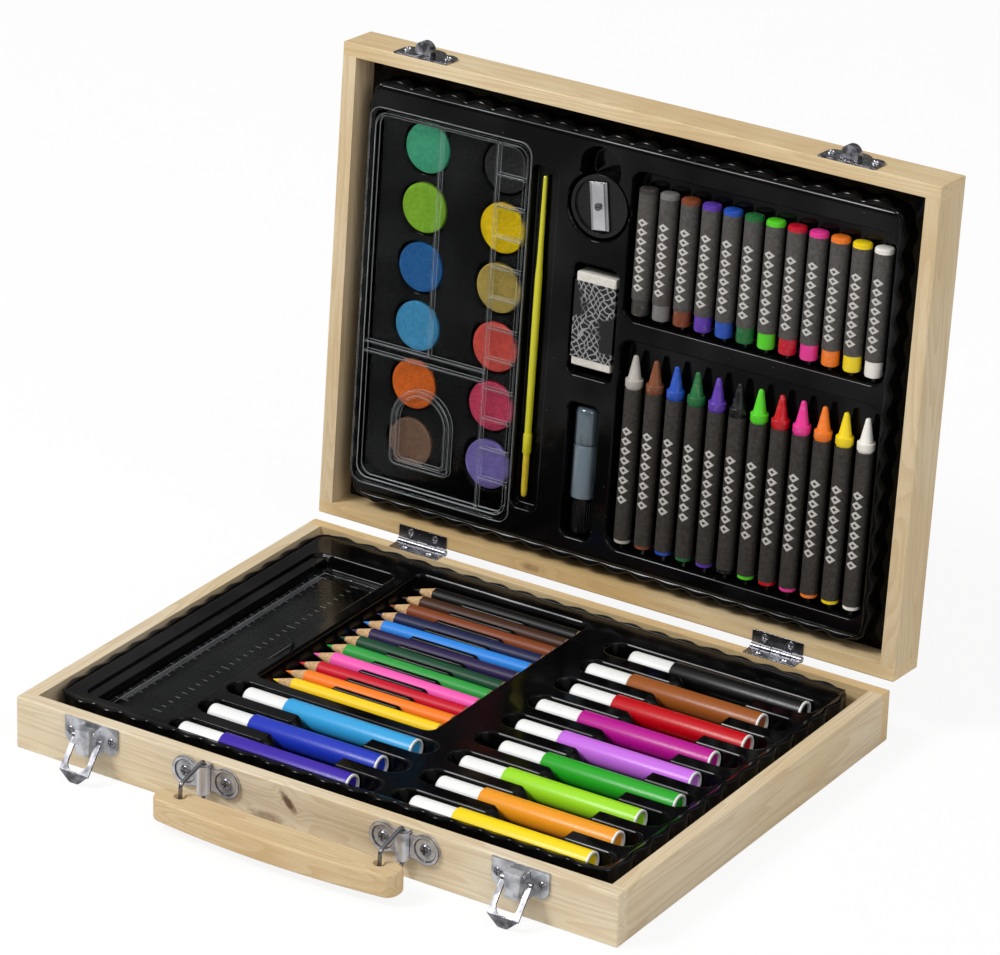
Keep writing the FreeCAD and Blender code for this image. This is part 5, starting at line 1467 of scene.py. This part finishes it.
@dataclass
class Ruler:
    """A clear ruler with plain printed ticks, in millimetres."""

    ticks: TickTree
    left: float = -121.8
    width: float = 30.0
    front: float = -86.5
    top: float = 18.6

    def build(self) -> None:
        """Rolls the ruler's edges, paints highlights on them and prints its ticks."""
        # The rolled edges get a pale, partly opaque finish: painted highlight lines
        rim = ClearPlastic("ruler_edge", "c6ccd0", 0.1, 0.7, 1.3).build()
        clear = ClearPlastic("clear_ruler").build()
        softened("ruler", "ruler", "clear_plastic", clear, 0.2, edge=rim)
        ink = Satin("tick_ink", "7b7d80", "5f6164", 0.5, 2.0, 0.02).build()
        for name, x, count, pitch, short, width in (
                ("ruler_fine_ticks", self.left + 3.0, 151, 1.0, 3.4, 0.22),
                ("ruler_coarse_ticks", self.left + self.width - 8.5, 31, 5.0, 2.2, 0.3)):
            row = self.ticks.bake(name, bpy.data.meshes.new(name + "_start"), {
                "Count": count, "Pitch": pitch * MM, "Short": short * MM, "Width": width * MM,
                "Thickness": 0.06 * MM, "Finish": ink})
            row.data.transform(Matrix.Translation(Vector((x, self.front + 7.5, self.top + 0.03)) * MM))
            settle(row, "ruler", "clear_plastic")


@dataclass
class SmallTools:
    """Brush, sharpener, eraser and glue stick, in millimetres."""

    repeat: RepeatTree
    brush: Triple = (-44.8, -71.8, 6.0)
    band: float = 120.8
    brush_length: float = 151.0
    glue: Triple = (-16.0, 29.0, 9.5)
    glue_radius: float = 6.1
    ribs: int = 22
    rib_circle: float = 4.45

    def build_brush(self) -> None:
        """A slim yellow brush handle with its band and cap."""
        spot, turn = Half.LID.place([self.brush]), [Half.LID.turn(90)]
        band, end = self.band, self.brush_length
        lacquer = InkedPlastic("brush_lacquer", 0.2, 0.5, 0.1)
        row = Row(spot, turn, Inks.BRUSH.linear)
        self.repeat.turned("brush_handle_piece", "brush", "brush_lacquer", "brush_handle", lacquer, row, [
            (0, 0), (0.1, 0.55), (0.6, 0.88), (34.0, 1.25), (42.0, 1.4), (46.0, 1.65), (66.0, 1.74),
            (band - 18, 1.65), (band - 0.2, 1.6), (band, 1.9), (band + 0.4, 2.0), (band + 8.6, 2.0),
            (band + 9.0, 1.85), (band + 9.0, 0)])
        dull = InkedPlastic("brush_cap_plastic", 0.3, 0.2, 0.25)
        row = Row(spot, turn, Inks.BRUSH_CAP.linear)
        self.repeat.turned("brush_cap_piece", "brush", "brush_cap", "brush_cap", dull, row, [
            (band + 9.0, 0), (band + 9.0, 1.5), (end - 3, 1.42), (end - 1.0, 1.2), (end - 0.3, 0.7),
            (end, 0)])

    def soften_blocks(self) -> None:
        """The sharpener's black round body and its light metal block, and the eraser in its card sleeve."""
        black = Satin("sharpener_black", "0f1011", "09090a", 0.2, 1.0, 0.05, 0.35)
        rubber = Satin("white_rubber", "ddd9d0", "cfcabf", 0.6, 0.6, 0.12, 0.3)
        for node, slot, finish, width, segments in (
                ("sharpener_body", "sharpener_plastic", black, 0.5, 3),
                ("sharpener_block", "sharpener_metal", Steel.BLOCK.value, 0.25, 2),
                ("sharpener_blade", "blade_steel", Steel.BLADE.value, 0.08, 2),
                ("sharpener_screw", "screw_steel", Steel.BLADE_SCREW.value, 0.08, 2),
                ("eraser_block", "eraser_rubber", rubber, 0.7, 3),
                ("eraser_sleeve", "eraser_card", PatternedCard(), 0.12, 2)):
            softened(node, node.split("_")[0], slot, finish.build(), width, segments)

    def build_glue(self) -> None:
        """A glue stick with a smoky cap, a frosted barrel and a ribbed knob."""
        row, r = Row(Half.LID.place([self.glue]), [Half.LID.turn(90)]), self.glue_radius
        # The second colour of the cap and of the barrel is painted shade at their outlines
        smoke = SmokyPlastic("smoky_cap", "56666f", "161d22")
        self.repeat.turned("glue_cap_piece", "glue", "glue_clear", "glue_cap", smoke, row, [
            (0, 0), (0, r - 2.2), (0.5, r - 1.1), (1.4, r - 0.4), (2.6, r - 0.1), (3.2, r), (16.6, r),
            (16.8, r - 0.25), (17.3, r - 0.25), (17.5, 0)])
        frost = SmokyPlastic("frosted_barrel", "6f7f89", "2c343a", 0.2)
        self.repeat.turned("glue_barrel_piece", "glue", "glue_body", "glue_barrel", frost, row, [
            (17.5, 0), (17.5, r - 0.9), (17.7, r - 0.3), (18.6, r - 0.3), (18.7, r), (42.6, r),
            (42.9, r - 0.3), (43.0, 0)])
        black = Satin("glue_knob_black", "101011", "0a0a0b", 0.16, 1.0, 0.03, 0.6)
        self.repeat.turned("glue_knob_piece", "glue", "glue_knob", "glue_knob", black, row, [
            (43.0, 0), (43.0, 4.3), (43.4, 4.6), (59.2, 4.5), (59.8, 4.2), (60.0, 3.6), (60.0, 0)])
        x, y, depth = self.glue
        rays = [self.rib_circle * np.exp(2j * math.pi * i / self.ribs) for i in range(self.ribs)]
        spots = Half.LID.place([(x + ray.real, y + 45.0, depth + ray.imag) for ray in rays])
        ring = Row(spots, [eulers(LID_TURN @ spin(90, "Z"))] * self.ribs)
        self.repeat.turned("glue_knob_ribs", "glue", "glue_knob", "", black, ring, [
            (0, 0), (0, 0.3), (13.0, 0.3), (13.0, 0)], 6)

    def build(self) -> None:
        """Makes all four."""
        self.build_brush()
        self.soften_blocks()
        self.build_glue()


def main() -> None:
    """Builds the studio and every part of the case in order."""
    logging.basicConfig(level=logging.INFO, format="%(name)s: %(message)s")
    Studio().build()
    repeat = RepeatTree()
    WoodenCase().build()
    Fittings(repeat).build()
    sheet = FormedPlastic().build()
    base_tray().build(sheet)
    lid_tray().build(sheet)
    Markers(repeat).build()
    Pencils(repeat).build()
    Sticks(repeat).build()
    PaintBox(repeat).build()
    Ruler(TickTree()).build()
    SmallTools(repeat).build()


if __name__ == "__main__":
    main()
